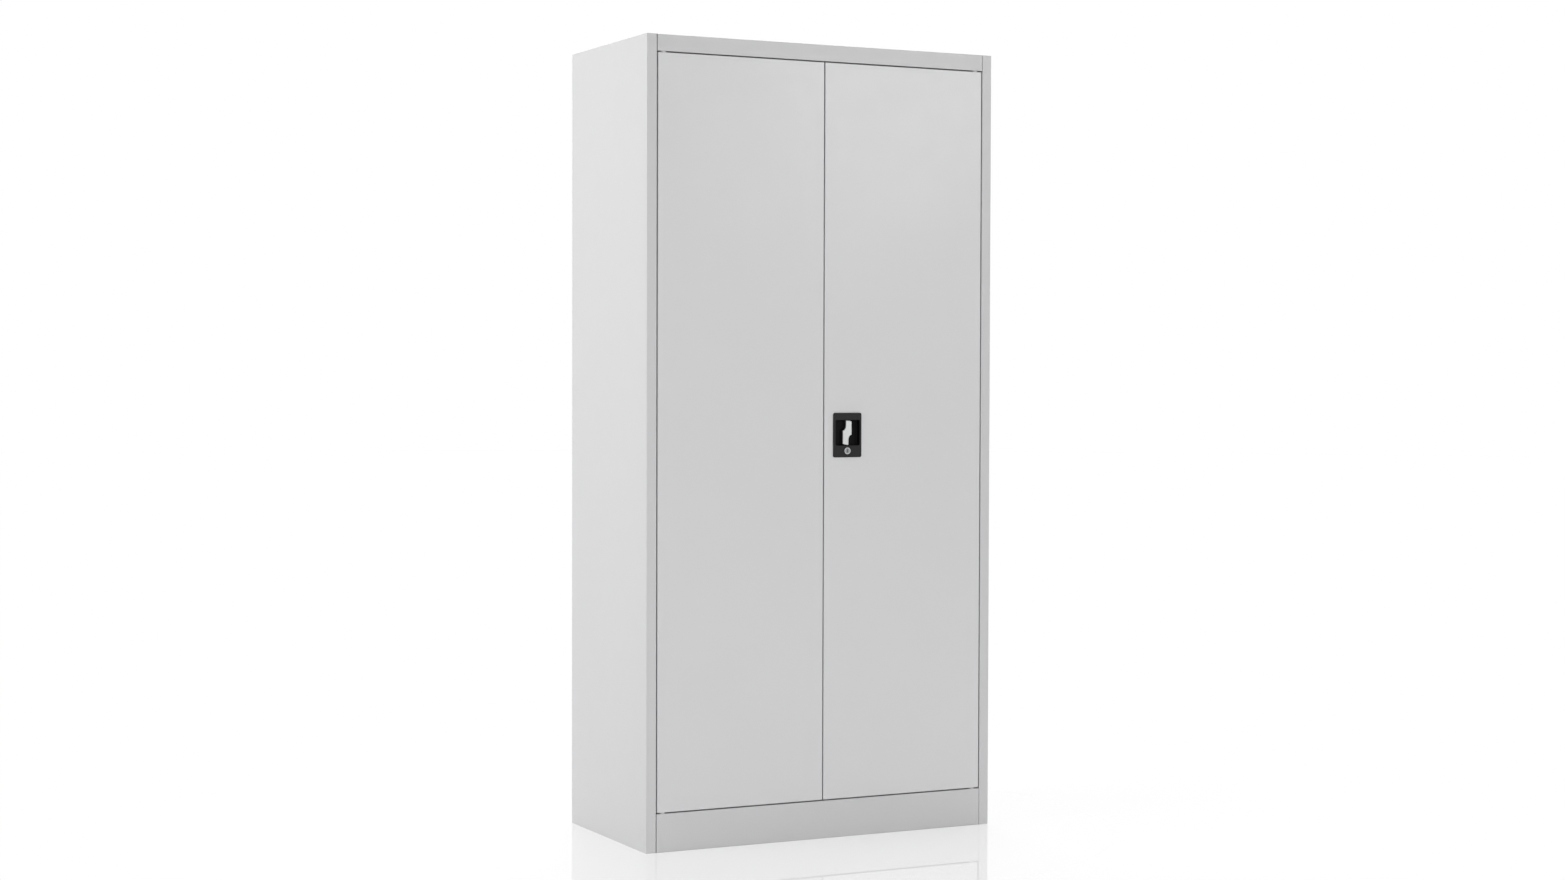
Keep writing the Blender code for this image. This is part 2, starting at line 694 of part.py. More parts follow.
def cut_lock_openings(panel):
    """The window for the lock housing, and the two slots for the rods."""
    bm = bmesh.new()
    rim = HOUSING_RIM - FIT
    half = Vector((HOUSING_WIDTH / 2 - rim, 0, HOUSING_HEIGHT / 2 - rim))
    add_block(bm, at(LOCK_X, -OVERRUN, HOUSING_LEVEL) - half,
              at(LOCK_X, SHEET + OVERRUN, HOUSING_LEVEL) + half)
    for level in (DOOR_BOTTOM + SHEET / 2, DOOR_TOP - SHEET / 2):
        reach = Vector((ROD_WIDTH / 2 + ROD_CLEARANCE, 0, SHEET / 2 + OVERRUN))
        add_block(bm, at(LOCK_X, ROD_FRONT - ROD_CLEARANCE, level) - reach,
                  at(LOCK_X, ROD_BACK + ROD_CLEARANCE, level) + reach)
    cut(panel, bm)


# Lock

def lock_housing(carrier):
    """Moulded housing: a bezel on the door skin, a body through it and a square recess."""
    half = Vector((HOUSING_WIDTH / 2, 0, HOUSING_HEIGHT / 2))
    rim = Vector((HOUSING_RIM, 0, HOUSING_RIM))
    bezel = rounded_block(
        at(LOCK_X, -HOUSING_PROUD, HOUSING_LEVEL) - half, at(LOCK_X, -FIT, HOUSING_LEVEL) + half,
        HOUSING_CORNER, HOUSING_EDGE)
    piece = add_piece("lock_housing", bezel, "black plastic", carrier)
    body = bmesh.new()
    add_block(body, at(LOCK_X, -HOUSING_PROUD / 2, HOUSING_LEVEL) - half + rim,
              at(LOCK_X, HOUSING_DEPTH, HOUSING_LEVEL) + half - rim)
    join(piece, body)
    recess = Vector((RECESS_WIDTH / 2, 0, RECESS_HEIGHT / 2))
    cut(piece, recess_tool(recess))
    bores = bmesh.new()
    through = HOUSING_DEPTH + HOUSING_PROUD + 2 * OVERRUN
    middle = (HOUSING_DEPTH - HOUSING_PROUD) / 2
    for level, diameter in ((KNOB_LEVEL, SPINDLE_DIAMETER), (KEY_LEVEL, KEY_DIAMETER)):
        centre = at(LOCK_X, middle, level)
        add_cylinder(bores, centre, Vector((0, UNIT, 0)), diameter + 2 * FIT, through)
    cut(piece, bores)


def recess_tool(half):
    """The recess's shape: rounded corners, and a cove where its walls meet its floor."""
    floor = HOUSING_DEPTH - RECESS_FLOOR
    low = at(LOCK_X, -HOUSING_PROUD - OVERRUN, KNOB_LEVEL) - half
    high = at(LOCK_X, floor, KNOB_LEVEL) + half
    bm = rounded_block(low, high, RECESS_CORNER, 0)
    bevel_edges(bm, edges_at(bm, high.y), RECESS_COVE, BEND_STEPS)
    return bm


def knob_outline():
    """Two offset wings with hollow shoulders, alike when turned half a turn: points across
    and up from the axis."""
    first = math.asin(KNOB_HALF_WIDTH / KNOB_RADIUS)
    last = -math.asin(KNOB_LOBE_EDGE / KNOB_RADIUS)
    wing = []
    for step in range(ARC_STEPS + 1):
        angle = first + (last - first) * step / ARC_STEPS
        wing.append((KNOB_RADIUS * math.sin(angle), KNOB_RADIUS * math.cos(angle)))
    for step in range(ARC_STEPS + 1):
        angle = SHOULDER_TURN * step / ARC_STEPS
        across = (KNOB_HALF_WIDTH - KNOB_LOBE_EDGE) * math.cos(angle)
        drop = (KNOB_SHOULDER_HIGH - KNOB_SHOULDER_LOW) * math.sin(angle)
        wing.append((across - KNOB_HALF_WIDTH, KNOB_SHOULDER_HIGH - drop))
    return wing + [(-x, -z) for x, z in wing]


def turn_knob(carrier):
    """Winged knob with its spindle, which turns in the housing and is square at the disc."""
    back = HOUSING_DEPTH - RECESS_FLOOR - KNOB_LIFT
    front = KNOB_SINK - HOUSING_PROUD
    bm = bmesh.new()
    outline = [at(LOCK_X + x, front, KNOB_LEVEL + z) for x, z in knob_outline()]
    face = bm.faces.new([bm.verts.new(point) for point in outline])
    made = bmesh.ops.extrude_face_region(bm, geom=[face])["geom"]
    verts = [item for item in made if isinstance(item, bmesh.types.BMVert)]
    bmesh.ops.translate(bm, verts=verts, vec=Vector((0, back - front, 0)))
    bmesh.ops.recalc_face_normals(bm, faces=bm.faces)
    bevel_edges(bm, edges_at(bm, outline[0].y), KNOB_CHAMFER, 1)
    piece = add_piece("turn_knob", bm, "satin chrome", carrier)
    spindle = bmesh.new()
    root = back - KNOB_CHAMFER
    round_end = DISC_FRONT - FIT
    add_cylinder(spindle, at(LOCK_X, (root + round_end) / 2, KNOB_LEVEL), Vector((0, UNIT, 0)),
                 SPINDLE_DIAMETER, round_end - root)
    join(piece, spindle)
    square = bmesh.new()
    half = Vector((SPINDLE_SQUARE / 2, 0, SPINDLE_SQUARE / 2))
    add_block(square, at(LOCK_X, DISC_FRONT - DISC_SETBACK, KNOB_LEVEL) - half,
              at(LOCK_X, DISC_BACK + FIT, KNOB_LEVEL) + half)
    join(piece, square)


def spiral_slot(start):
    """A ribbon along one cam slot: the pin's way from its inner to its outer place."""
    bm = bmesh.new()
    overrun = FIT + ROD_PIN_DIAMETER / 2
    row = []
    for step in range(-1, SPIRAL_STEPS + 2):
        share = min(max(step, 0), SPIRAL_STEPS) / SPIRAL_STEPS
        radius = DISC_SLOT_START + ROD_TRAVEL * share
        angle = start + KNOB_TURN * share
        across = Vector((math.cos(angle), 0, math.sin(angle)))
        along = Vector((-math.sin(angle), 0, math.cos(angle)))
        beyond = overrun * (step - share * SPIRAL_STEPS)
        row.append(at(LOCK_X, DISC_FRONT - OVERRUN, KNOB_LEVEL) + across * radius + along * beyond)
    verts = [bm.verts.new(point) for point in row]
    edges = [bm.edges.new(pair) for pair in zip(verts, verts[1:])]
    made = bmesh.ops.extrude_edge_only(bm, edges=edges)["geom"]
    moved = [item for item in made if isinstance(item, bmesh.types.BMVert)]
    bmesh.ops.translate(bm, verts=moved, vec=Vector((0, DISC_THICKNESS + 2 * OVERRUN, 0)))
    bmesh.ops.recalc_face_normals(bm, faces=bm.faces)
    return bm


def cam_disc(carrier):
    """Disc on the knob's spindle. Its spiral slots drive the rods, and its two scallops
    take the key's lever at either end of the knob's turn."""
    axis = Vector((0, UNIT, 0))
    middle = at(LOCK_X, (DISC_FRONT + DISC_BACK) / 2, KNOB_LEVEL)
    bm = bmesh.new()
    add_cylinder(bm, middle, axis, DISC_DIAMETER, DISC_THICKNESS, DISC_STEPS)
    piece = add_piece("cam_disc", bm, "zinc plate", carrier)
    for start in (math.pi / 2, -math.pi / 2):
        tool = add_tool(f"cam_disc_slot_{len(piece.modifiers)}", spiral_slot(start))
        width = tool.modifiers.new("Width", "SOLIDIFY")
        width.thickness = DISC_SLOT_WIDTH
        width.offset = 0
        width.use_even_offset = True
        combine(piece, tool, "DIFFERENCE")
    length = DISC_THICKNESS + 2 * OVERRUN
    scallop = 2 * (LEVER_REACH + LEVER_CLEARANCE)
    for way in (Vector((0, 0, -KEY_DROP)), Vector((KEY_DROP, 0, 0))):
        notch = bmesh.new()
        add_cylinder(notch, middle + way, axis, scallop, length)
        cut(piece, notch)
    square = bmesh.new()
    reach = Vector((SPINDLE_SQUARE / 2 + FIT, length / 2, SPINDLE_SQUARE / 2 + FIT))
    add_block(square, middle - reach, middle + reach)
    cut(piece, square)


def rod(up, name, carrier):
    """Flat rod, drawn in below the door's edge, and the steel pin riveted into its end,
    which rides in the disc's slot."""
    near = KNOB_LEVEL + up * (DISC_SLOT_START - ROD_PIN_DIAMETER)
    far = DOOR_TOP - ROD_SINK if up > 0 else DOOR_BOTTOM + ROD_SINK
    half = Vector((ROD_WIDTH / 2, 0, 0))
    low = at(LOCK_X, ROD_FRONT, min(near, far)) - half
    high = at(LOCK_X, ROD_BACK, max(near, far)) + half
    bm = rounded_block(low, high, ROD_EDGE, 0, 1)
    piece = add_piece(name, bm, "zinc plate", carrier)
    axis = Vector((0, UNIT, 0))
    level = KNOB_LEVEL + up * DISC_SLOT_START
    hole = bmesh.new()
    add_cylinder(hole, at(LOCK_X, (ROD_FRONT + ROD_BACK) / 2, level), axis,
                 ROD_RIVET_DIAMETER + 2 * FIT, ROD_THICKNESS + 2 * OVERRUN)
    cut(piece, hole)
    pin = bmesh.new()
    front = DISC_FRONT + FIT
    shoulder = ROD_FRONT - FIT
    root = (front + shoulder) / 2
    add_cylinder(pin, at(LOCK_X, root, level), axis, ROD_PIN_DIAMETER, shoulder - front)
    pin_piece = add_piece(f"{name}_pin", pin, "bright steel", carrier)
    rivet = bmesh.new()
    middle = at(LOCK_X, (root + ROD_BACK) / 2, level)
    add_cylinder(rivet, middle, axis, ROD_RIVET_DIAMETER, ROD_BACK - root)
    join(pin_piece, rivet)


def rod_guide(up, name, carrier):
    """Nylon block behind the door's edge, with a slot that the rod slides in."""
    edge = DOOR_TOP - INNER_EDGE if up > 0 else DOOR_BOTTOM + INNER_EDGE
    other = edge - up * GUIDE_HEIGHT
    middle = (ROD_FRONT + ROD_BACK) / 2
    half_depth = DOOR_THICKNESS - INNER_EDGE - middle
    half = Vector((GUIDE_WIDTH / 2, 0, 0))
    low = at(LOCK_X, middle - half_depth, min(edge, other)) - half
    high = at(LOCK_X, middle + half_depth, max(edge, other)) + half
    bm = rounded_block(low, high, ROD_EDGE, 0, 1)
    piece = add_piece(name, bm, "white nylon", carrier)
    slot = bmesh.new()
    reach = Vector((ROD_WIDTH / 2 + ROD_CLEARANCE, 0, OVERRUN))
    add_block(slot, at(LOCK_X, ROD_FRONT - ROD_CLEARANCE, min(edge, other)) - reach,
              at(LOCK_X, ROD_BACK + ROD_CLEARANCE, max(edge, other)) + reach)
    cut(piece, slot)


def lock_cover(carrier):
    """Steel cap over the disc and the key's lever, notched where the rods pass."""
    half_width = HOUSING_WIDTH / 2 - HOUSING_RIM - SHEET
    top = KNOB_LEVEL + DISC_DIAMETER / 2 + COVER_SIDE_GAP + SHEET
    bottom = HOUSING_LEVEL - HOUSING_HEIGHT / 2 + HOUSING_RIM
    low = at(LOCK_X - half_width, HOUSING_DEPTH + FIT, bottom)
    high = at(LOCK_X + half_width, ROD_BACK + FIT + ROD_CLEARANCE + SHEET, top)
    bm = pan(low, high, Vector((0, -1, 0)), 0)
    piece = add_piece("lock_cover", bm, "zinc plate", carrier)
    make_sheet(piece)
    slots = bmesh.new()
    for level in (top - SHEET / 2, bottom + SHEET / 2):
        reach = Vector((ROD_WIDTH / 2 + ROD_CLEARANCE, 0, SHEET / 2 + OVERRUN))
        add_block(slots, at(LOCK_X, HOUSING_DEPTH - OVERRUN, level) - reach,
                  at(LOCK_X, ROD_BACK + FIT, level) + reach)
    cut(piece, slots)


def key_cylinder(carrier):
    """Round barrel, fixed in the housing, with a bevelled ring round the plug."""
    outer = KEY_DIAMETER / 2
    bore = PLUG_DIAMETER / 2 + FIT
    back = DISC_FRONT - FIT
    profile = (
        (outer - KEY_CHAMFER, PROUD), (outer, PROUD - KEY_CHAMFER), (outer, -back), (bore, -back),
        (bore, PROUD - KEY_CHAMFER), (bore + KEY_CHAMFER, PROUD))
    piece = add_turned("key_cylinder", profile, "polished chrome", carrier, at(LOCK_X, 0, KEY_LEVEL))
    piece.rotation_euler = (math.pi / 2, 0, 0)


def key_plug(carrier):
    """Plug with the keyway, which turns in the barrel and is square at the lever."""
    front = PLUG_SINK - PROUD
    round_end = DISC_FRONT - FIT
    bm = bmesh.new()
    add_cylinder(bm, at(LOCK_X, (front + round_end) / 2, KEY_LEVEL), Vector((0, UNIT, 0)),
                 PLUG_DIAMETER, round_end - front)
    piece = add_piece("key_plug", bm, "polished chrome", carrier)
    square = bmesh.new()
    half = Vector((PLUG_SQUARE / 2, 0, PLUG_SQUARE / 2))
    add_block(square, at(LOCK_X, DISC_FRONT - DISC_SETBACK, KEY_LEVEL) - half,
              at(LOCK_X, DISC_BACK + FIT, KEY_LEVEL) + half)
    join(piece, square)
    keyway = bmesh.new()
    reach = Vector((KEYWAY_WIDTH / 2, 0, KEYWAY_HEIGHT / 2))
    add_block(keyway, at(LOCK_X, front - OVERRUN, KEY_LEVEL) - reach,
              at(LOCK_X, front + KEYWAY_DEPTH, KEY_LEVEL) + reach)
    cut(piece, keyway)


def lock_cam(carrier):
    """Lever on the plug, drawn level at rest. A quarter turn brings it up into the disc."""
    hub = PLUG_SQUARE + LEVER_HALF_WIDTH
    low = at(LOCK_X - LEVER_REACH, DISC_FRONT + FIT, KEY_LEVEL - LEVER_HALF_WIDTH)
    high = at(LOCK_X, DISC_BACK - FIT, KEY_LEVEL + LEVER_HALF_WIDTH)
    bm = rounded_block(low, high, LEVER_HALF_WIDTH / 2, 0)
    piece = add_piece("lock_cam", bm, "zinc plate", carrier)
    eye = bmesh.new()
    middle = at(LOCK_X, (DISC_FRONT + DISC_BACK) / 2, KEY_LEVEL)
    add_cylinder(eye, middle, Vector((0, UNIT, 0)), 2 * hub, DISC_THICKNESS - 2 * FIT)
    join(piece, eye)
    square = bmesh.new()
    reach = Vector((PLUG_SQUARE / 2 + FIT, DISC_THICKNESS, PLUG_SQUARE / 2 + FIT))
    add_block(square, middle - reach, middle + reach)
    cut(piece, square)


def lock(door, knob, key, upper, lower):
    """The whole lock, on the right door."""
    lock_housing(door)
    turn_knob(knob)
    cam_disc(knob)
    rod(1, "upper_rod", upper)
    rod(-1, "lower_rod", lower)
    rod_guide(1, "upper_rod_guide", door)
    rod_guide(-1, "lower_rod_guide", door)
    lock_cover(door)
    key_cylinder(door)
    key_plug(key)
    lock_cam(key)


def axis_empty(name, place):
    """An empty on a joint's axis, which carries the pieces that move about it."""
    made = bpy.data.objects.new(name, None)
    made.location = place
    PARTS.objects.link(made)
    return made


for leftover in list(bpy.data.objects):
    bpy.data.objects.remove(leftover, do_unlink=True)

PARTS = empty_collection("Storage cupboard")
CUTTERS = empty_collection("Cutters")

side_panel(-1, "left_side_panel")
side_panel(1, "right_side_panel")
top_panel()
bottom_panel()
back_panel()
interior()
left_axis = axis_empty("left_door_axis", at(-PIVOT_X, PIVOT_DEPTH, DOOR_BOTTOM))
right_axis = axis_empty("right_door_axis", at(PIVOT_X, PIVOT_DEPTH, DOOR_BOTTOM))
doors(left_axis, right_axis)
lock(
    right_axis, axis_empty("knob_axis", at(LOCK_X, 0, KNOB_LEVEL)),
    axis_empty("key_axis", at(LOCK_X, 0, KEY_LEVEL)),
    axis_empty("upper_rod_slide", at(LOCK_X, ROD_FRONT, DOOR_TOP)),
    axis_empty("lower_rod_slide", at(LOCK_X, ROD_FRONT, DOOR_BOTTOM)))
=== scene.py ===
"""Looks of the two-door steel storage cupboard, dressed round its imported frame."""

import bmesh
import bpy
import math
from mathutils import Matrix, Vector


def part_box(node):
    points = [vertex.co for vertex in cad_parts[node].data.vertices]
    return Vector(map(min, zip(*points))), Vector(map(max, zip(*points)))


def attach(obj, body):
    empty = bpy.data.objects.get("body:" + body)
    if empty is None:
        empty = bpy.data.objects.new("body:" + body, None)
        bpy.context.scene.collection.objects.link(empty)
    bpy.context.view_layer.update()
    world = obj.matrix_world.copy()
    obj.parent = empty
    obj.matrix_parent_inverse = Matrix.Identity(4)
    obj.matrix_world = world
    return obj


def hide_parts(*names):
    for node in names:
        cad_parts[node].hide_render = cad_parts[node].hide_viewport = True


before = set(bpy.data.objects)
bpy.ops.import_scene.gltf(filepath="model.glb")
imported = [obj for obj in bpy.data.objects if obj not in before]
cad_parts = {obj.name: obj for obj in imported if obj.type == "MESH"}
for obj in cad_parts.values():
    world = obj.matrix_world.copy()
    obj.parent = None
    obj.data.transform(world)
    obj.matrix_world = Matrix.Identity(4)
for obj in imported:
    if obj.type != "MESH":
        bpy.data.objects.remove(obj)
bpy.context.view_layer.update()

# Carcass sheets
# Cold-rolled steel sheet, folded, spot welded into one carcass and powder coated in light
# grey. The square ends of the header and the plinth stop just short of the two stiles.

CARCASS_GREY = "C1C1C2"
CARCASS_ROUGHNESS = 0.36
CARCASS_WAVE_HEIGHT = 0.0018
CARCASS_PEEL_HEIGHT = 0.000006
SHEET_WAVE_MM = 260.0
ORANGE_PEEL_MM = 1.6
TONE_DRIFT_MM = 190.0
TONE_DARKEST = 0.985
GLOSS_PATCH_MM = 35.0
GLOSS_SPREAD = 0.02
MERGE = 0.000001
FLAT_ANGLE = math.radians(0.5)
BEND_DEGREES = 40
STILE_WIDTH = 0.025
SEAM_GAP = 0.001
FOLD_DEPTH = 0.002


def linear(hex_colour):
    """The linear RGBA of an sRGB hex colour."""
    shares = [int(hex_colour[place:place + 2], 16) / 255 for place in (0, 2, 4)]
    return [c / 12.92 if c <= 0.04045 else ((c + 0.055) / 1.055) ** 2.4 for c in shares] + [1.0]


def darker(colour, share):
    """The same linear colour with only that share of its light."""
    return [c * share for c in colour[:3]] + [1.0]


def add_node(tree, kind, inputs=None, **settings):
    """Adds a node, sets its properties, and fills or links its inputs."""
    made = tree.nodes.new(kind)
    for key, value in settings.items():
        setattr(made, key, value)
    for key, value in (inputs or {}).items():
        if isinstance(value, bpy.types.NodeSocket):
            tree.links.new(value, made.inputs[key])
        else:
            made.inputs[key].default_value = value
    return made


def new_material(name):
    """An empty material: its node tree, its shader and its object coordinates in metres."""
    material = bpy.data.materials.new(name)
    material.use_nodes = True
    tree = material.node_tree
    shader = tree.nodes["Principled BSDF"]
    place = add_node(tree, "ShaderNodeTexCoord").outputs["Object"]
    return material, tree, shader, place


def per_metre(millimetres):
    """The scale of a noise whose features are that many millimetres apart."""
    return 1000.0 / millimetres


def powder_coat(name, colour, roughness, wave_height, peel_height):
    """Powder coat on steel sheet: satin, with orange peel, over a sheet that isn't quite flat."""
    material, tree, shader, place = new_material(name)
    drift = add_node(
        tree, "ShaderNodeTexNoise",
        {"Vector": place, "Scale": per_metre(TONE_DRIFT_MM), "Detail": 3.0})
    tone = add_node(
        tree, "ShaderNodeMix",
        {0: drift.outputs["Fac"], 6: darker(colour, TONE_DARKEST), 7: colour}, data_type="RGBA")
    tree.links.new(tone.outputs[2], shader.inputs["Base Color"])
    gloss = add_node(
        tree, "ShaderNodeTexNoise",
        {"Vector": place, "Scale": per_metre(GLOSS_PATCH_MM), "Detail": 4.0})
    rough = add_node(
        tree, "ShaderNodeMapRange",
        {"Value": gloss.outputs["Fac"], "From Min": 0.3, "From Max": 0.7,
         "To Min": roughness - GLOSS_SPREAD, "To Max": roughness + GLOSS_SPREAD})
    tree.links.new(rough.outputs["Result"], shader.inputs["Roughness"])
    peel = add_node(
        tree, "ShaderNodeTexNoise",
        {"Vector": place, "Scale": per_metre(ORANGE_PEEL_MM), "Detail": 2.0})
    wave = add_node(
        tree, "ShaderNodeTexNoise",
        {"Vector": place, "Scale": per_metre(SHEET_WAVE_MM), "Detail": 0.0})
    flat = add_node(
        tree, "ShaderNodeBump",
        {"Height": wave.outputs["Fac"], "Strength": 1.0, "Distance": wave_height})
    coat = add_node(
        tree, "ShaderNodeBump",
        {"Height": peel.outputs["Fac"], "Strength": 0.35, "Distance": peel_height,
         "Normal": flat.outputs["Normal"]})
    tree.links.new(coat.outputs["Normal"], shader.inputs["Normal"])
    return material


# Cured polyester powder: a pale, even grey with a broad quiet sheen, which bends a little
# where the sheet does. Its orange peel is drawn at its real size and only softens the gloss.
carcass_coat = powder_coat(
    "Powder coated carcass steel", linear(CARCASS_GREY), CARCASS_ROUGHNESS,
    CARCASS_WAVE_HEIGHT, CARCASS_PEEL_HEIGHT)


def in_scene(name, data):
    """A new object of this name, linked to the scene, with its place in its data."""
    thing = bpy.data.objects.new(name, data)
    bpy.context.scene.collection.objects.link(thing)
    return thing


def as_mesh(name, bm):
    """The mesh of a bmesh that is finished with."""
    mesh = bpy.data.meshes.new(name)
    bm.to_mesh(mesh)
    bm.free()
    return mesh


def set_material(thing, material):
    """Gives an object one material on all its faces."""
    thing.data.materials.clear()
    thing.data.materials.append(material)
    for face in thing.data.polygons:
        face.material_index = 0


def settled(piece):
    """Turns what a piece's modifiers show into its plain mesh, and takes them off."""
    bpy.context.view_layer.update()
    depsgraph = bpy.context.evaluated_depsgraph_get()
    mesh = bpy.data.meshes.new_from_object(piece.evaluated_get(depsgraph), depsgraph=depsgraph)
    piece.modifiers.clear()
    piece.data = mesh


def dressed(node, body, material, crease=BEND_DEGREES):
    """A merged copy of a CAD node, which stands for it: round bends between dead flat faces."""
    bm = bmesh.new()
    bm.from_mesh(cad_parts[node].data)
    bmesh.ops.remove_doubles(bm, verts=bm.verts, dist=MERGE)
    bmesh.ops.dissolve_limit(
        bm, angle_limit=FLAT_ANGLE, use_dissolve_boundaries=False,
        verts=bm.verts, edges=bm.edges)
    bm.normal_update()
    for face in bm.faces:
        face.smooth = True
    for edge in bm.edges:
        edge.smooth = edge.calc_face_angle(0.0) < math.radians(crease)
    piece = in_scene(f"{node}_finish", as_mesh(f"{node}_finish", bm))
    flat = piece.modifiers.new("Flat faces", "WEIGHTED_NORMAL")
    flat.weight = 100
    flat.keep_sharp = True
    settled(piece)
    set_material(piece, material)
    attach(piece, body)
    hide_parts(node)
    return piece


def open_seams(piece, node):
    """Draws the square ends of a front fold back from the stiles, which leaves dark seams."""
    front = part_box(node)[0][1]
    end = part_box("right_side_panel")[1][0] - STILE_WIDTH - SEAM_GAP
    for vert in piece.data.vertices:
        beside = end < abs(vert.co.x) < end + 2 * SEAM_GAP
        if beside and vert.co.y < front + FOLD_DEPTH:
            vert.co.x = math.copysign(end, vert.co.x)


for panel in ("left_side_panel", "right_side_panel", "back_panel"):
    dressed(panel, "cabinet", carcass_coat)
for panel in ("top_panel", "bottom_panel"):
    open_seams(dressed(panel, "cabinet", carcass_coat), panel)

# Slotted uprights and shelves
# The strips and trays are folded from the same sheet and coated with the carcass. The
# clips are bent from bright zinc plated strip and hook into the slots.

SHELF_NUMBERS = (1, 2, 3, 4)
ZINC_GREY = "C9CCCF"
ZINC_ROUGHNESS = 0.36
ZINC_PATCH_MM = 9.0
ZINC_CLOUD_MM = 14.0
ZINC_DARKEST = 0.86
ROLLING_MM = 0.8
ROLLING_STRETCH = 0.06
ROLLING_HEIGHT = 0.00003


def zinc_plate(name, colour, roughness):
    """Bright zinc plate: bluish metal with faint cloudy patches and fine rolling lines."""
    material, tree, shader, place = new_material(name)
    patches = add_node(
        tree, "ShaderNodeTexVoronoi", {"Vector": place, "Scale": per_metre(ZINC_PATCH_MM)},
        feature="F1")
    cloud = add_node(
        tree, "ShaderNodeTexNoise",
        {"Vector": place, "Scale": per_metre(ZINC_CLOUD_MM), "Detail": 5.0})
    tone = add_node(
        tree, "ShaderNodeMix",
        {0: cloud.outputs["Fac"], 6: darker(colour, ZINC_DARKEST), 7: colour}, data_type="RGBA")
    tree.links.new(tone.outputs[2], shader.inputs["Base Color"])
    rough = add_node(
        tree, "ShaderNodeMapRange",
        {"Value": patches.outputs["Distance"], "From Min": 0.0, "From Max": 1.0,
         "To Min": roughness - 0.06, "To Max": roughness + 0.08})
    tree.links.new(rough.outputs["Result"], shader.inputs["Roughness"])
    stretch = add_node(
        tree, "ShaderNodeMapping", {"Vector": place, "Scale": (1.0, 1.0, ROLLING_STRETCH)})
    rolling = add_node(
        tree, "ShaderNodeTexNoise",
        {"Vector": stretch.outputs["Vector"], "Scale": per_metre(ROLLING_MM), "Detail": 2.0})
    relief = add_node(
        tree, "ShaderNodeBump",
        {"Height": rolling.outputs["Fac"], "Strength": 0.25, "Distance": ROLLING_HEIGHT})
    tree.links.new(relief.outputs["Normal"], shader.inputs["Normal"])
    shader.inputs["Metallic"].default_value = 1.0
    return material


# Electroplated zinc on rolled strip: a cool silver that clouds a little from patch to patch.
# Its rolling lines are really some 0.1 mm apart, and are drawn coarser so that they show.
clip_zinc = zinc_plate("Bright zinc plated strip", linear(ZINC_GREY), ZINC_ROUGHNESS)
for end in ("front", "rear"):
    for side in ("left", "right"):
        dressed(f"{end}_{side}_upright", "cabinet", carcass_coat)
        for number in SHELF_NUMBERS:
            dressed(f"shelf_{number}_clip_{end}_{side}", "cabinet", clip_zinc)
for number in SHELF_NUMBERS:
    dressed(f"shelf_{number}", "cabinet", carcass_coat)

# Doors
# Each door is a folded tray, welded at its corners, with a hat section spot welded up its
# middle. It has the same powder coat as the carcass, on a skin that waves a little more.

DOOR_GREY = "CBCBCC"
DOOR_ROUGHNESS = 0.31
DOOR_WAVE_HEIGHT = 0.0024
DOOR_PEEL_HEIGHT = 0.000008

# The same cured powder on the large skins: a shade paler and glossier than the carcass, so
# that the light falls across the doors in one long soft change of tone.
door_coat = powder_coat(
    "Powder coated door steel", linear(DOOR_GREY), DOOR_ROUGHNESS,
    DOOR_WAVE_HEIGHT, DOOR_PEEL_HEIGHT)
for side in ("left", "right"):
    body = f"{side}_door"
    dressed(f"{side}_door_panel", body, door_coat)
    dressed(f"{side}_door_stiffener", body, carcass_coat)

# Pivots, magnets and buffers
# Turned steel pins run in white nylon bushes. The catches are black moulded cases with
# steel pole plates, and the buffers are soft black rubber buttons.

PIN_STEEL = "B9BBBD"
PIN_ROUGHNESS = 0.24
PIN_RING_MM = 0.5
RING_HEIGHT = 0.00002
WAVE_TURN = math.tau / 20
HAZE_MM = 6.0
NYLON_WHITE = "E4E2DA"
NYLON_ROUGHNESS = 0.5
NYLON_GRAIN_MM = 0.7
BUFFER_BLACK = "1B1B1C"
BUFFER_ROUGHNESS = 0.72
BUFFER_GRAIN_MM = 0.5
BUFFER_GRAIN_DEPTH = 0.00003
CASE_BLACK = "262628"
CASE_ROUGHNESS = 0.45
CASE_GRAIN_MM = 0.8
CASE_CREASE = 20
MOULD_GRAIN_DEPTH = 0.00002
FLOW_MM = 18.0
FLOW_DARKEST = 0.88


def turned_steel(name, colour, roughness, ring_mm):
    """Turned or ground steel: bright, with the fine lines that the tool leaves across it."""
    material, tree, shader, place = new_material(name)
    rings = add_node(
        tree, "ShaderNodeTexWave",
        {"Vector": place, "Scale": per_metre(ring_mm) * WAVE_TURN, "Distortion": 0.6,
         "Detail": 1.0}, wave_type="BANDS", bands_direction="Z")
    relief = add_node(
        tree, "ShaderNodeBump",
        {"Height": rings.outputs["Fac"], "Strength": 0.3, "Distance": RING_HEIGHT})
    tree.links.new(relief.outputs["Normal"], shader.inputs["Normal"])
    haze = add_node(
        tree, "ShaderNodeTexNoise",
        {"Vector": place, "Scale": per_metre(HAZE_MM), "Detail": 3.0})
    rough = add_node(
        tree, "ShaderNodeMapRange",
        {"Value": haze.outputs["Fac"], "To Min": roughness - 0.05, "To Max": roughness + 0.07})
    tree.links.new(rough.outputs["Result"], shader.inputs["Roughness"])
    shader.inputs["Base Color"].default_value = colour
    shader.inputs["Metallic"].default_value = 1.0
    return material


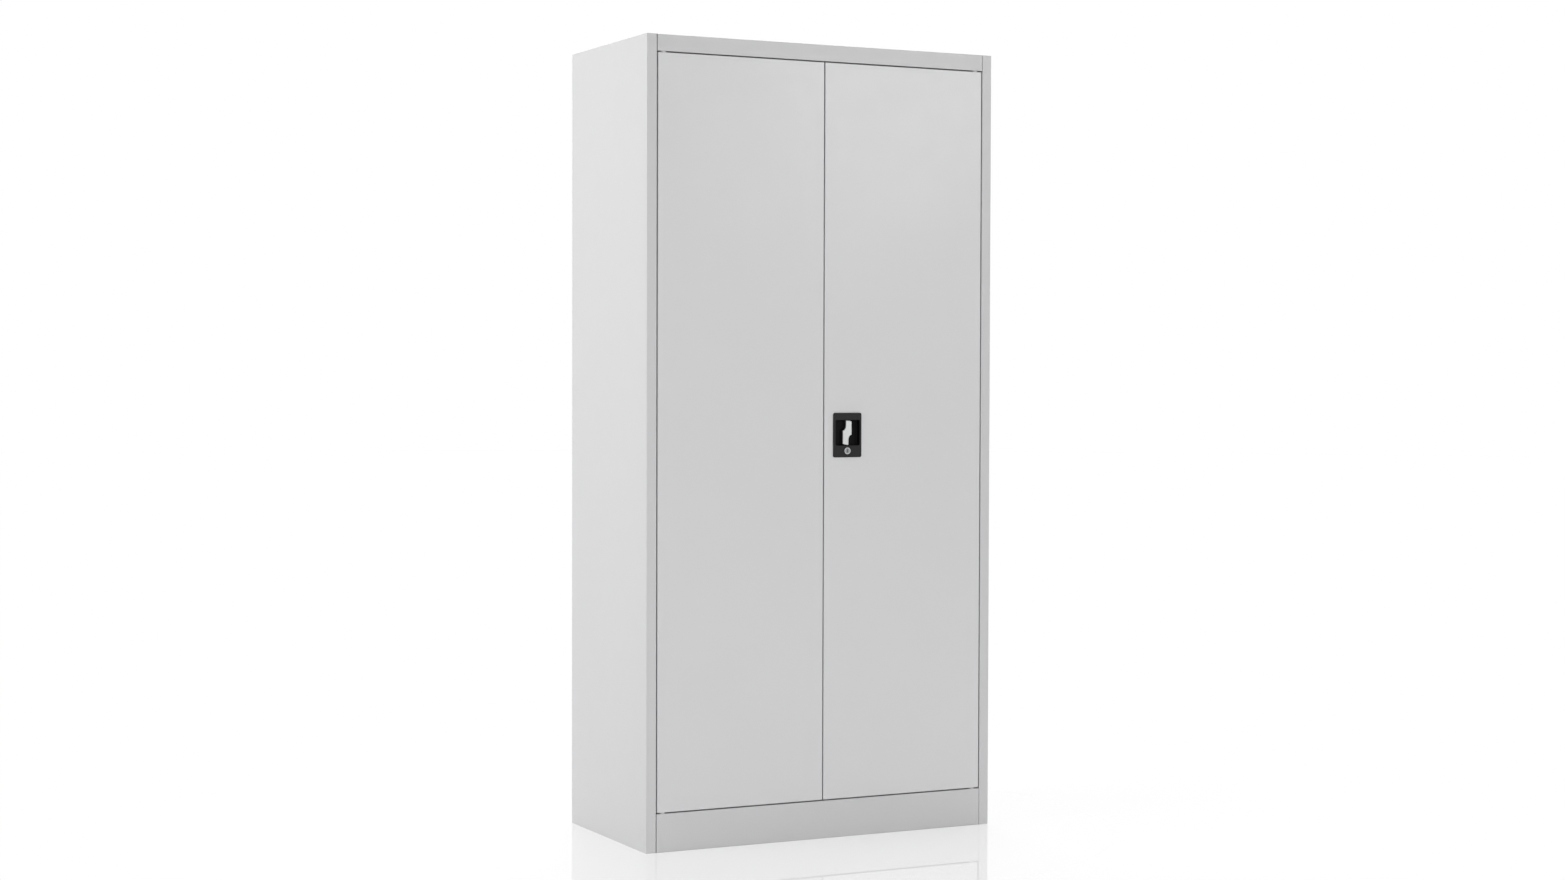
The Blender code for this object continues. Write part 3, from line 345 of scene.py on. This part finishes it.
def moulded(name, colour, roughness, grain_mm, grain_depth):
    """Moulded plastic or rubber: the grain of the tool in a soft, slightly uneven gloss."""
    material, tree, shader, place = new_material(name)
    grain = add_node(
        tree, "ShaderNodeTexNoise",
        {"Vector": place, "Scale": per_metre(grain_mm), "Detail": 3.0})
    relief = add_node(
        tree, "ShaderNodeBump",
        {"Height": grain.outputs["Fac"], "Strength": 0.5, "Distance": grain_depth})
    tree.links.new(relief.outputs["Normal"], shader.inputs["Normal"])
    flow = add_node(
        tree, "ShaderNodeTexNoise",
        {"Vector": place, "Scale": per_metre(FLOW_MM), "Detail": 2.0})
    rough = add_node(
        tree, "ShaderNodeMapRange",
        {"Value": flow.outputs["Fac"], "To Min": roughness - 0.05, "To Max": roughness + 0.05})
    tree.links.new(rough.outputs["Result"], shader.inputs["Roughness"])
    tone = add_node(
        tree, "ShaderNodeMix",
        {0: flow.outputs["Fac"], 6: darker(colour, FLOW_DARKEST), 7: colour}, data_type="RGBA")
    tree.links.new(tone.outputs[2], shader.inputs["Base Color"])
    return material


# Free-cutting steel off the lathe: bright, with rings round it. They are really a tenth of
# a millimetre apart, and are drawn coarser so that they show.
pin_steel = turned_steel(
    "Turned bright steel", linear(PIN_STEEL), PIN_ROUGHNESS, PIN_RING_MM)
# Nylon straight from the mould: a warm, dull white that looks a little waxy.
bush_nylon = moulded(
    "Moulded white nylon", linear(NYLON_WHITE), NYLON_ROUGHNESS, NYLON_GRAIN_MM,
    MOULD_GRAIN_DEPTH)
# Soft rubber: nearly black and quite matt, so the buttons read as dark dots.
buffer_rubber = moulded(
    "Moulded black rubber", linear(BUFFER_BLACK), BUFFER_ROUGHNESS, BUFFER_GRAIN_MM,
    BUFFER_GRAIN_DEPTH)
# Hard plastic with a spark-eroded grain: a greyer, half matt black. Each of the three grains
# is drawn somewhat coarser than the real 0.2 to 0.4 mm, so that it shows.
case_plastic = moulded(
    "Moulded black catch case", linear(CASE_BLACK), CASE_ROUGHNESS, CASE_GRAIN_MM,
    MOULD_GRAIN_DEPTH)
for side in ("left", "right"):
    for end in ("upper", "lower"):
        dressed(f"{side}_door_{end}_pin", f"{side}_door", pin_steel)
        dressed(f"{side}_door_{end}_bush", "cabinet", bush_nylon)
for end in ("upper", "lower"):
    dressed(f"{end}_magnet", "cabinet", case_plastic, CASE_CREASE)
    dressed(f"{end}_buffer", "cabinet", buffer_rubber)

# Lock housing and knob
# The housing is black ABS, moulded with a fine spark grain and set into a cutout of the door.
# The winged knob is cast zinc, satin chromed, and the key barrel below it is plated brass.

HOUSING_BLACK = "161617"
HOUSING_ROUGHNESS = 0.42
HOUSING_SPECULAR = 0.2
HOUSING_GRAIN_MM = 0.6
HOUSING_CREASE = 35
# The recess's black is painted darker than the housing's: painted shade inside the recess.
RECESS_SHADE_BLACK = "0B0B0C"
RECESS_ROUGHNESS = 0.6
RECESS_SPECULAR = 0.08
RECESS_HALF_WIDTH = 0.0321
RECESS_HALF_HEIGHT = 0.0301
BEZEL_LIP = 0.0006
KNOB_CHROME = "B1B3B2"
KNOB_ROUGHNESS = 0.34
KNOB_CREASE = 25
RING_NICKEL = "B4B5B6"
RING_ROUGHNESS = 0.3
# The plug's grey is painted darker than the ring's nickel, as painted shade of the sunk plug.
PLUG_SHADE_GREY = "7B7C7D"
PLUG_ROUGHNESS = 0.4
BARREL_CREASE = 30
BRUSH_MM = 0.35
BRUSH_STRETCH = 0.08
BRUSH_HEIGHT = 0.00002


def satin_chrome(name, colour, roughness):
    """Satin plate: pale metal with short brush lines along it and soft highlights."""
    material, tree, shader, place = new_material(name)
    stretch = add_node(
        tree, "ShaderNodeMapping", {"Vector": place, "Scale": (1.0, 1.0, BRUSH_STRETCH)})
    brush = add_node(
        tree, "ShaderNodeTexNoise",
        {"Vector": stretch.outputs["Vector"], "Scale": per_metre(BRUSH_MM), "Detail": 2.0})
    relief = add_node(
        tree, "ShaderNodeBump",
        {"Height": brush.outputs["Fac"], "Strength": 0.2, "Distance": BRUSH_HEIGHT})
    tree.links.new(relief.outputs["Normal"], shader.inputs["Normal"])
    rough = add_node(
        tree, "ShaderNodeMapRange",
        {"Value": brush.outputs["Fac"], "To Min": roughness - 0.05, "To Max": roughness + 0.05})
    tree.links.new(rough.outputs["Result"], shader.inputs["Roughness"])
    shader.inputs["Base Color"].default_value = colour
    shader.inputs["Metallic"].default_value = 1.0
    return material


# ABS with a spark-eroded face: an even charcoal with hardly a gleam, which frames the knob.
# Its grain is drawn somewhat coarser than the real 0.3 mm, so that it shows.
housing_abs = moulded(
    "Moulded black ABS", linear(HOUSING_BLACK), HOUSING_ROUGHNESS, HOUSING_GRAIN_MM,
    MOULD_GRAIN_DEPTH)
housing_shader = housing_abs.node_tree.nodes["Principled BSDF"]
housing_shader.inputs["Specular IOR Level"].default_value = HOUSING_SPECULAR
# The same ABS inside the recess, rougher and painted a darker black as painted shade of the
# recess, so the knob stands out.
recess_shaded_abs = moulded(
    "Matt black ABS of the recess", linear(RECESS_SHADE_BLACK), RECESS_ROUGHNESS, HOUSING_GRAIN_MM,
    MOULD_GRAIN_DEPTH)
recess_shaded_shader = recess_shaded_abs.node_tree.nodes["Principled BSDF"]
recess_shaded_shader.inputs["Specular IOR Level"].default_value = RECESS_SPECULAR
# Satin chrome over cast zinc: a soft white metal whose chamfers catch the light as bright
# lines. The brush lines are really under 0.1 mm apart, and are drawn coarser so that they show.
knob_chrome = satin_chrome("Satin chromed zinc casting", linear(KNOB_CHROME), KNOB_ROUGHNESS)
# Nickel on brass, as turned: a brighter thin ring round the plug.
ring_nickel = satin_chrome("Nickel plated brass", linear(RING_NICKEL), RING_ROUGHNESS)
# Nickel painted a mid grey as painted shade of the sunk plug and its keyway: a disc in which the
# keyway reads as a dark line.
plug_shaded_nickel = satin_chrome("Nickel plated brass in painted shade", linear(PLUG_SHADE_GREY), PLUG_ROUGHNESS)
housing = dressed("lock_housing", "right_door", housing_abs, HOUSING_CREASE)
housing.data.materials.append(recess_shaded_abs)
bezel_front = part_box("lock_housing")[0][1]
low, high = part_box("turn_knob")
knob_x, knob_z = (low[0] + high[0]) / 2, (low[2] + high[2]) / 2
# Faces sunk inside the recess take the darker black, which paints the recess's shade.
for face in housing.data.polygons:
    within_width = abs(face.center.x - knob_x) < RECESS_HALF_WIDTH
    within_height = abs(face.center.z - knob_z) < RECESS_HALF_HEIGHT
    sunk = face.center.y > bezel_front + BEZEL_LIP
    face.material_index = 1 if within_width and within_height and sunk else 0
dressed("turn_knob", "knob", knob_chrome, KNOB_CREASE)
dressed("key_cylinder", "right_door", ring_nickel, BARREL_CREASE)
dressed("key_plug", "key", plug_shaded_nickel, BARREL_CREASE)

# Rod lock behind the door
# Disc, rods, lever and cover are zinc plated steel, and the rods run in nylon guides
# screwed behind the top and bottom edges of the door.

ROD_CREASE = 30
for node, body in (("cam_disc", "knob"), ("upper_rod", "upper_rod"), ("lower_rod", "lower_rod"),
                   ("lock_cover", "right_door"), ("lock_cam", "key")):
    dressed(node, body, clip_zinc, ROD_CREASE)
for end in ("upper", "lower"):
    dressed(f"{end}_rod_guide", "right_door", bush_nylon, ROD_CREASE)
    dressed(f"{end}_rod_pin", f"{end}_rod", pin_steel, ROD_CREASE)

# Pole plates of the magnets
# Two strips of bright mild steel lie in the grooves of each catch's case, and the door's
# edge closes against them. They show as thin silver lines on the black.

POLE_STEEL = "A9ABAD"
POLE_ROUGHNESS = 0.32
POLE_LINE_MM = 0.4
POLE_HEIGHT = 0.0013
POLE_DEPTH = 0.0007
POLE_INSET = 0.0005
POLE_EDGE = 0.0002

# Mild steel ground flat on its edge: a cold silver with lines along it, drawn coarser than
# the real 0.1 mm so that they show.
pole_steel = turned_steel(
    "Ground mild steel", linear(POLE_STEEL), POLE_ROUGHNESS, POLE_LINE_MM)
for end in ("upper", "lower"):
    low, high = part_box(f"{end}_magnet")
    length = high[0] - low[0] - 2 * POLE_INSET
    middle = (low[2] + high[2]) / 2
    quarter = (high[2] - low[2]) / 4
    bm = bmesh.new()
    for way in (-1, 1):
        made = bmesh.ops.create_cube(bm, size=1.0)["verts"]
        bmesh.ops.scale(bm, verts=made, vec=(length, POLE_DEPTH, POLE_HEIGHT))
        place = Vector(((low[0] + high[0]) / 2, low[1] + POLE_DEPTH / 2, middle + way * quarter))
        bmesh.ops.translate(bm, verts=made, vec=place)
    bmesh.ops.bevel(
        bm, geom=bm.edges[:], offset=POLE_EDGE, segments=2, profile=0.5, affect="EDGES")
    plates = in_scene(f"{end}_pole_plates", as_mesh(f"{end}_pole_plates", bm))
    set_material(plates, pole_steel)
    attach(plates, "cabinet")

# Screws of the lock
# Four pan-head cross-recess screws of zinc plated steel hold the lock's cover to the bosses
# of the housing. Each is turned at random, as it came to rest when it was driven.

SCREW_HEAD = 0.0062
SCREW_CROWN = 0.0036
SCREW_HEIGHT = 0.0015
SCREW_SIDES = 24
SCREW_SINK = 0.00002
SCREW_SEED = 7
RECESS_ARM = 0.0009
RECESS_SPAN = 0.0032
RECESS_SINK = 0.0008
COVER_SCREW_INSET = 0.0075


def new_tree(name, inputs):
    """An empty tree of geometry nodes with one named input for each size, and its ends."""
    tree = bpy.data.node_groups.new(name, "GeometryNodeTree")
    tree.interface.new_socket(
        name="Geometry", in_out="INPUT", socket_type="NodeSocketGeometry")
    tree.interface.new_socket(
        name="Geometry", in_out="OUTPUT", socket_type="NodeSocketGeometry")
    for label in inputs:
        tree.interface.new_socket(name=label, in_out="INPUT", socket_type="NodeSocketFloat")
    return tree, add_node(tree, "NodeGroupInput"), add_node(tree, "NodeGroupOutput")


def half_of(tree, size):
    """Half of a size that comes from a socket."""
    return add_node(tree, "ShaderNodeMath", {0: size, 1: 0.5}, operation="MULTIPLY").outputs[0]


def finish_tree(tree, ends, points, shape, spin, material):
    """Puts a shape on every point, facing the way that the point says, as one real mesh."""
    facing = add_node(
        tree, "GeometryNodeInputNamedAttribute", {"Name": "facing"}, data_type="FLOAT_VECTOR")
    turned = add_node(
        tree, "FunctionNodeAlignRotationToVector", {"Vector": facing.outputs["Attribute"]},
        axis="Z")
    if spin is not None:
        turned = add_node(
            tree, "FunctionNodeRotateRotation",
            {"Rotation": turned.outputs[0], "Rotate By": spin}, rotation_space="LOCAL")
    placed = add_node(
        tree, "GeometryNodeInstanceOnPoints",
        {"Points": points, "Instance": shape, "Rotation": turned.outputs[0]})
    real = add_node(tree, "GeometryNodeRealizeInstances", {"Geometry": placed.outputs[0]})
    coated = add_node(
        tree, "GeometryNodeSetMaterial", {"Geometry": real.outputs[0], "Material": material})
    tree.links.new(coated.outputs[0], ends.inputs[0])


def screw_tree(material):
    """Geometry nodes for pan-head screws with a cross recess."""
    tree, sizes, ends = new_tree(
        "pan_head_screws",
        ("Head diameter", "Crown diameter", "Height", "Recess arm", "Recess span",
         "Recess depth"))
    height = sizes.outputs["Height"]
    head = add_node(
        tree, "GeometryNodeMeshCone",
        {"Vertices": SCREW_SIDES, "Radius Top": half_of(tree, sizes.outputs["Crown diameter"]),
         "Radius Bottom": half_of(tree, sizes.outputs["Head diameter"]), "Depth": height})
    recess_floor = add_node(
        tree, "ShaderNodeMath", {0: height, 1: sizes.outputs["Recess depth"]},
        operation="SUBTRACT")
    lift = add_node(
        tree, "ShaderNodeMath", {0: half_of(tree, height), 1: recess_floor.outputs[0]},
        operation="ADD")
    upward = add_node(tree, "ShaderNodeCombineXYZ", {"Z": lift.outputs[0]})
    cutters = add_node(tree, "GeometryNodeJoinGeometry")
    for long_way, short_way in (("X", "Y"), ("Y", "X")):
        size = add_node(
            tree, "ShaderNodeCombineXYZ",
            {long_way: sizes.outputs["Recess span"], short_way: sizes.outputs["Recess arm"],
             "Z": height})
        arm = add_node(tree, "GeometryNodeMeshCube", {"Size": size.outputs[0]})
        raised = add_node(
            tree, "GeometryNodeTransform",
            {"Geometry": arm.outputs["Mesh"], "Translation": upward.outputs[0]})
        tree.links.new(raised.outputs[0], cutters.inputs[0])
    cross = add_node(
        tree, "GeometryNodeMeshBoolean",
        {"Mesh 1": head.outputs["Mesh"], "Mesh 2": cutters.outputs[0], "Self Intersection": True},
        operation="DIFFERENCE", solver="EXACT")
    turn = add_node(
        tree, "FunctionNodeRandomValue", {"Max": math.tau, "Seed": SCREW_SEED},
        data_type="FLOAT")
    about = add_node(tree, "ShaderNodeCombineXYZ", {"Z": turn.outputs["Value"]})
    spin = add_node(tree, "FunctionNodeEulerToRotation", {"Euler": about.outputs[0]})
    finish_tree(
        tree, ends, sizes.outputs["Geometry"], cross.outputs["Mesh"], spin.outputs[0], material)
    return tree


def repeated(name, tree, settings, places, body):
    """One mesh of everything that a tree puts at these places, each with the way it faces."""
    mesh = bpy.data.meshes.new(name)
    mesh.from_pydata([place for place, facing in places], [], [])
    facings = mesh.attributes.new("facing", "FLOAT_VECTOR", "POINT")
    for index, (place, facing) in enumerate(places):
        facings.data[index].vector = facing
    piece = in_scene(name, mesh)
    nodes = piece.modifiers.new("Repeats", "NODES")
    nodes.node_group = tree
    for socket in tree.interface.items_tree:
        if socket.in_out == "INPUT" and socket.name in settings:
            nodes[socket.identifier] = settings[socket.name]
    settled(piece)
    set_material(piece, piece.data.materials[-1])
    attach(piece, body)


screw_sizes = {
    "Head diameter": SCREW_HEAD, "Crown diameter": SCREW_CROWN, "Height": SCREW_HEIGHT,
    "Recess arm": RECESS_ARM, "Recess span": RECESS_SPAN, "Recess depth": RECESS_SINK}
low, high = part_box("lock_cover")
cover_screws = [
    ((x, high[1] - SCREW_SINK, z), (0.0, 1.0, 0.0))
    for x in (low[0] + COVER_SCREW_INSET, high[0] - COVER_SCREW_INSET)
    for z in (low[2] + COVER_SCREW_INSET, high[2] - COVER_SCREW_INSET)]
repeated(
    "lock_cover_screws", screw_tree(clip_zinc), screw_sizes, cover_screws, "right_door")

# Spot welds
# The strips, hat sections and back sheet are spot welded before painting. Each weld leaves a
# shallow round dent with a soft rim, and the powder coat covers it.

WELD_DIAMETER = 0.0055
WELD_DENT = 0.0034
WELD_RIM = 0.00028
WELD_SIDES = 20
WELD_SINK = 0.00004
WELD_PITCH = 0.090
WELD_END = 0.03
BACK_WELD_END = 0.05
WELDED_SHEET = 0.0008
STRIP_FLANGE = 0.004
HAT_FLANGE = 0.007


def weld_tree(material):
    """Geometry nodes for the low painted rims of spot welds."""
    tree, sizes, ends = new_tree("spot_welds", ("Diameter", "Dent diameter", "Rim height"))
    rim = add_node(
        tree, "GeometryNodeMeshCone",
        {"Vertices": WELD_SIDES, "Radius Top": half_of(tree, sizes.outputs["Dent diameter"]),
         "Radius Bottom": half_of(tree, sizes.outputs["Diameter"]),
         "Depth": sizes.outputs["Rim height"]})
    finish_tree(tree, ends, sizes.outputs["Geometry"], rim.outputs["Mesh"], None, material)
    return tree


def weld_line(start, end, facing):
    """Weld places from one point to another, about a pitch apart."""
    start, end, facing = Vector(start), Vector(end), Vector(facing)
    count = max(2, round((end - start).length / WELD_PITCH) + 1)
    sink = facing * WELD_SINK
    return [(tuple(start.lerp(end, step / (count - 1)) - sink), facing) for step in range(count)]


weld_sizes = {"Diameter": WELD_DIAMETER, "Dent diameter": WELD_DENT, "Rim height": WELD_RIM}
carcass_welds = []
for end in ("front", "rear"):
    for side, way in (("left", 1.0), ("right", -1.0)):
        low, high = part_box(f"{end}_{side}_upright")
        x = (low[0] if way > 0 else high[0]) + way * WELDED_SHEET
        for y in (low[1] + STRIP_FLANGE, high[1] - STRIP_FLANGE):
            carcass_welds += weld_line(
                (x, y, low[2] + WELD_END), (x, y, high[2] - WELD_END), (way, 0.0, 0.0))
low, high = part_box("back_panel")
for z in (low[2] + WELD_END, high[2] - WELD_END):
    carcass_welds += weld_line(
        (low[0] + BACK_WELD_END, high[1], z), (high[0] - BACK_WELD_END, high[1], z),
        (0.0, 1.0, 0.0))
repeated(
    "carcass_welds", weld_tree(carcass_coat), weld_sizes, carcass_welds, "cabinet")
for side in ("left", "right"):
    low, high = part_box(f"{side}_door_stiffener")
    y = low[1] + WELDED_SHEET
    door_welds = []
    for x in (low[0] + HAT_FLANGE, high[0] - HAT_FLANGE):
        door_welds += weld_line(
            (x, y, low[2] + WELD_END), (x, y, high[2] - WELD_END), (0.0, 1.0, 0.0))
    repeated(
        f"{side}_door_welds", weld_tree(carcass_coat), weld_sizes, door_welds, f"{side}_door")

# Floor
# A white studio floor with a hard polish, which mirrors the foot of the cupboard faintly and
# keeps a little of its shadow. Under the open base it is dark, as the hole for the rod shows.

FLOOR_RADIUS = 30.0
FLOOR_SIDES = 64
FLOOR_WHITE = "FFFFFF"
FLOOR_ROUGHNESS = 0.6
POLISH_IOR = 1.9
SHADOW_SHARE = 0.15
SHADOW_NEAR = 0.5
SHADOW_FAR = 1.6
BASE_INSET = 0.004


def studio_floor():
    """The floor's material: white with a mirror's share that grows as the eye comes level."""
    material, tree, shader, place = new_material("Polished white studio floor")
    white = linear(FLOOR_WHITE)
    shader.inputs["Base Color"].default_value = white
    shader.inputs["Roughness"].default_value = FLOOR_ROUGHNESS
    plain = add_node(tree, "ShaderNodeEmission", {"Color": white, "Strength": 1.0})
    mirror = add_node(tree, "ShaderNodeBsdfGlossy", {"Color": white, "Roughness": 0.0})
    slant = add_node(tree, "ShaderNodeFresnel", {"IOR": POLISH_IOR})
    polished = add_node(
        tree, "ShaderNodeMixShader",
        {0: slant.outputs["Fac"], 1: plain.outputs[0], 2: mirror.outputs[0]})
    away = add_node(tree, "ShaderNodeVectorMath", {0: place}, operation="LENGTH")
    near = add_node(
        tree, "ShaderNodeMapRange",
        {"Value": away.outputs["Value"], "From Min": SHADOW_NEAR, "From Max": SHADOW_FAR,
         "To Min": SHADOW_SHARE, "To Max": 0.0}, interpolation_type="SMOOTHSTEP")
    spot = add_node(tree, "ShaderNodeSeparateXYZ", {"Vector": place})
    beneath = []
    for axis, half in (("X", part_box("back_panel")[1][0]), ("Y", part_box("back_panel")[1][1])):
        off = add_node(tree, "ShaderNodeMath", {0: spot.outputs[axis]}, operation="ABSOLUTE")
        beneath.append(add_node(
            tree, "ShaderNodeMath", {0: off.outputs[0], 1: half - BASE_INSET},
            operation="LESS_THAN"))
    dark = add_node(
        tree, "ShaderNodeMath", {0: beneath[0].outputs[0], 1: beneath[1].outputs[0]},
        operation="MULTIPLY")
    share = add_node(
        tree, "ShaderNodeMath", {0: near.outputs["Result"], 1: dark.outputs[0]},
        operation="MAXIMUM")
    shaded = add_node(
        tree, "ShaderNodeMixShader",
        {0: share.outputs[0], 1: polished.outputs[0], 2: shader.outputs[0]})
    rays = add_node(tree, "ShaderNodeLightPath")
    seen = add_node(
        tree, "ShaderNodeMath",
        {0: rays.outputs["Is Camera Ray"], 1: rays.outputs["Is Glossy Ray"]},
        operation="MAXIMUM")
    seen = add_node(
        tree, "ShaderNodeMath", {0: seen.outputs[0], 1: rays.outputs["Is Transmission Ray"]},
        operation="MAXIMUM")
    mixed = add_node(
        tree, "ShaderNodeMixShader",
        {0: seen.outputs[0], 1: shader.outputs[0], 2: shaded.outputs[0]})
    tree.links.new(mixed.outputs[0], tree.nodes["Material Output"].inputs["Surface"])
    return material


bm = bmesh.new()
bmesh.ops.create_circle(bm, cap_ends=True, segments=FLOOR_SIDES, radius=FLOOR_RADIUS)
floor = in_scene("studio_floor", as_mesh("studio_floor", bm))
# A lacquered floor that glows plain white to the eye: the cupboard stands on nothing but a
# pale mirror image and a breath of shadow.
set_material(floor, studio_floor())

# Light
# A white room with a soft box low in front, one on the left, which makes that side the
# brightest face, and a far one on the right, whose sheen falls on the top of the doors. Two
# more light the other side, the top and the back.

WHITE_LEVEL = 1.0
ROOM_LEVEL = 0.4


def soft_lamp(name, place, target, size, power):
    """A square soft box that faces a point."""
    lamp = bpy.data.lights.new(name, "AREA")
    lamp.shape = "SQUARE"
    lamp.size = size
    lamp.energy = power
    thing = in_scene(name, lamp)
    thing.location = place
    away = Vector(place) - Vector(target)
    thing.rotation_euler = away.to_track_quat("Z", "Y").to_euler()


soft_lamp("low_front_soft_box", (-0.6, -4.5, 0.3), (0.0, -0.2, 0.3), 1.6, 63.0)
soft_lamp("left_soft_box", (-3.6, 0.2, 2.6), (-0.4, 0.1, 1.5), 2.2, 96.0)
soft_lamp("sheen_soft_box", (4.3, -7.5, 2.95), (0.0, -0.2, 1.9), 1.4, 84.0)
soft_lamp("right_soft_box", (4.6, 1.7, 2.6), (0.4, 0.1, 1.2), 2.6, 80.0)
soft_lamp("rear_soft_box", (1.0, 3.5, 4.5), (0.0, 0.2, 1.2), 3.0, 100.0)

room = bpy.data.worlds.new("White studio")
bpy.context.scene.world = room
room.use_nodes = True
sky = room.node_tree
background = sky.nodes["Background"]
background.inputs["Color"].default_value = linear(FLOOR_WHITE)
rays = add_node(sky, "ShaderNodeLightPath")
seen = add_node(
    sky, "ShaderNodeMath",
    {0: rays.outputs["Is Camera Ray"], 1: rays.outputs["Is Transmission Ray"]},
    operation="MAXIMUM")
seen = add_node(
    sky, "ShaderNodeMath", {0: seen.outputs[0], 1: rays.outputs["Is Glossy Ray"]},
    operation="MAXIMUM")
level = add_node(
    sky, "ShaderNodeMapRange",
    {"Value": seen.outputs[0], "To Min": ROOM_LEVEL, "To Max": WHITE_LEVEL})
sky.links.new(level.outputs["Result"], background.inputs["Strength"])

# Camera
# The photograph's own view, from the front left at chest height. Its place and focal length
# come from fitting the cupboard's corners in the 1565 by 880 frame.

CAMERA_PLACE = (-2.75779, -5.52996, 1.08999)
CAMERA_YAW = math.radians(26.5369)
CAMERA_PITCH = math.radians(-1.51284)
CAMERA_ROLL = math.radians(0.153)
FOCAL_PIXELS = 2567.09
IMAGE_WIDTH = 1565
SENSOR_MM = 36.0

ahead = Vector((
    math.sin(CAMERA_YAW) * math.cos(CAMERA_PITCH),
    math.cos(CAMERA_YAW) * math.cos(CAMERA_PITCH),
    math.sin(CAMERA_PITCH)))
across = Vector((math.cos(CAMERA_YAW), -math.sin(CAMERA_YAW), 0.0))
upward = across.cross(ahead)
tilted_across = math.cos(CAMERA_ROLL) * across + math.sin(CAMERA_ROLL) * upward
tilted_upward = math.cos(CAMERA_ROLL) * upward - math.sin(CAMERA_ROLL) * across
camera = in_scene("photograph_view", bpy.data.cameras.new("photograph_view"))
camera.data.sensor_width = SENSOR_MM
camera.data.sensor_fit = "HORIZONTAL"
camera.data.lens = SENSOR_MM * FOCAL_PIXELS / IMAGE_WIDTH
turn = Matrix((tilted_across, tilted_upward, -ahead)).transposed().to_4x4()
camera.matrix_world = Matrix.Translation(CAMERA_PLACE) @ turn
bpy.context.scene.camera = camera
bpy.context.scene.view_settings.view_transform = "Standard"
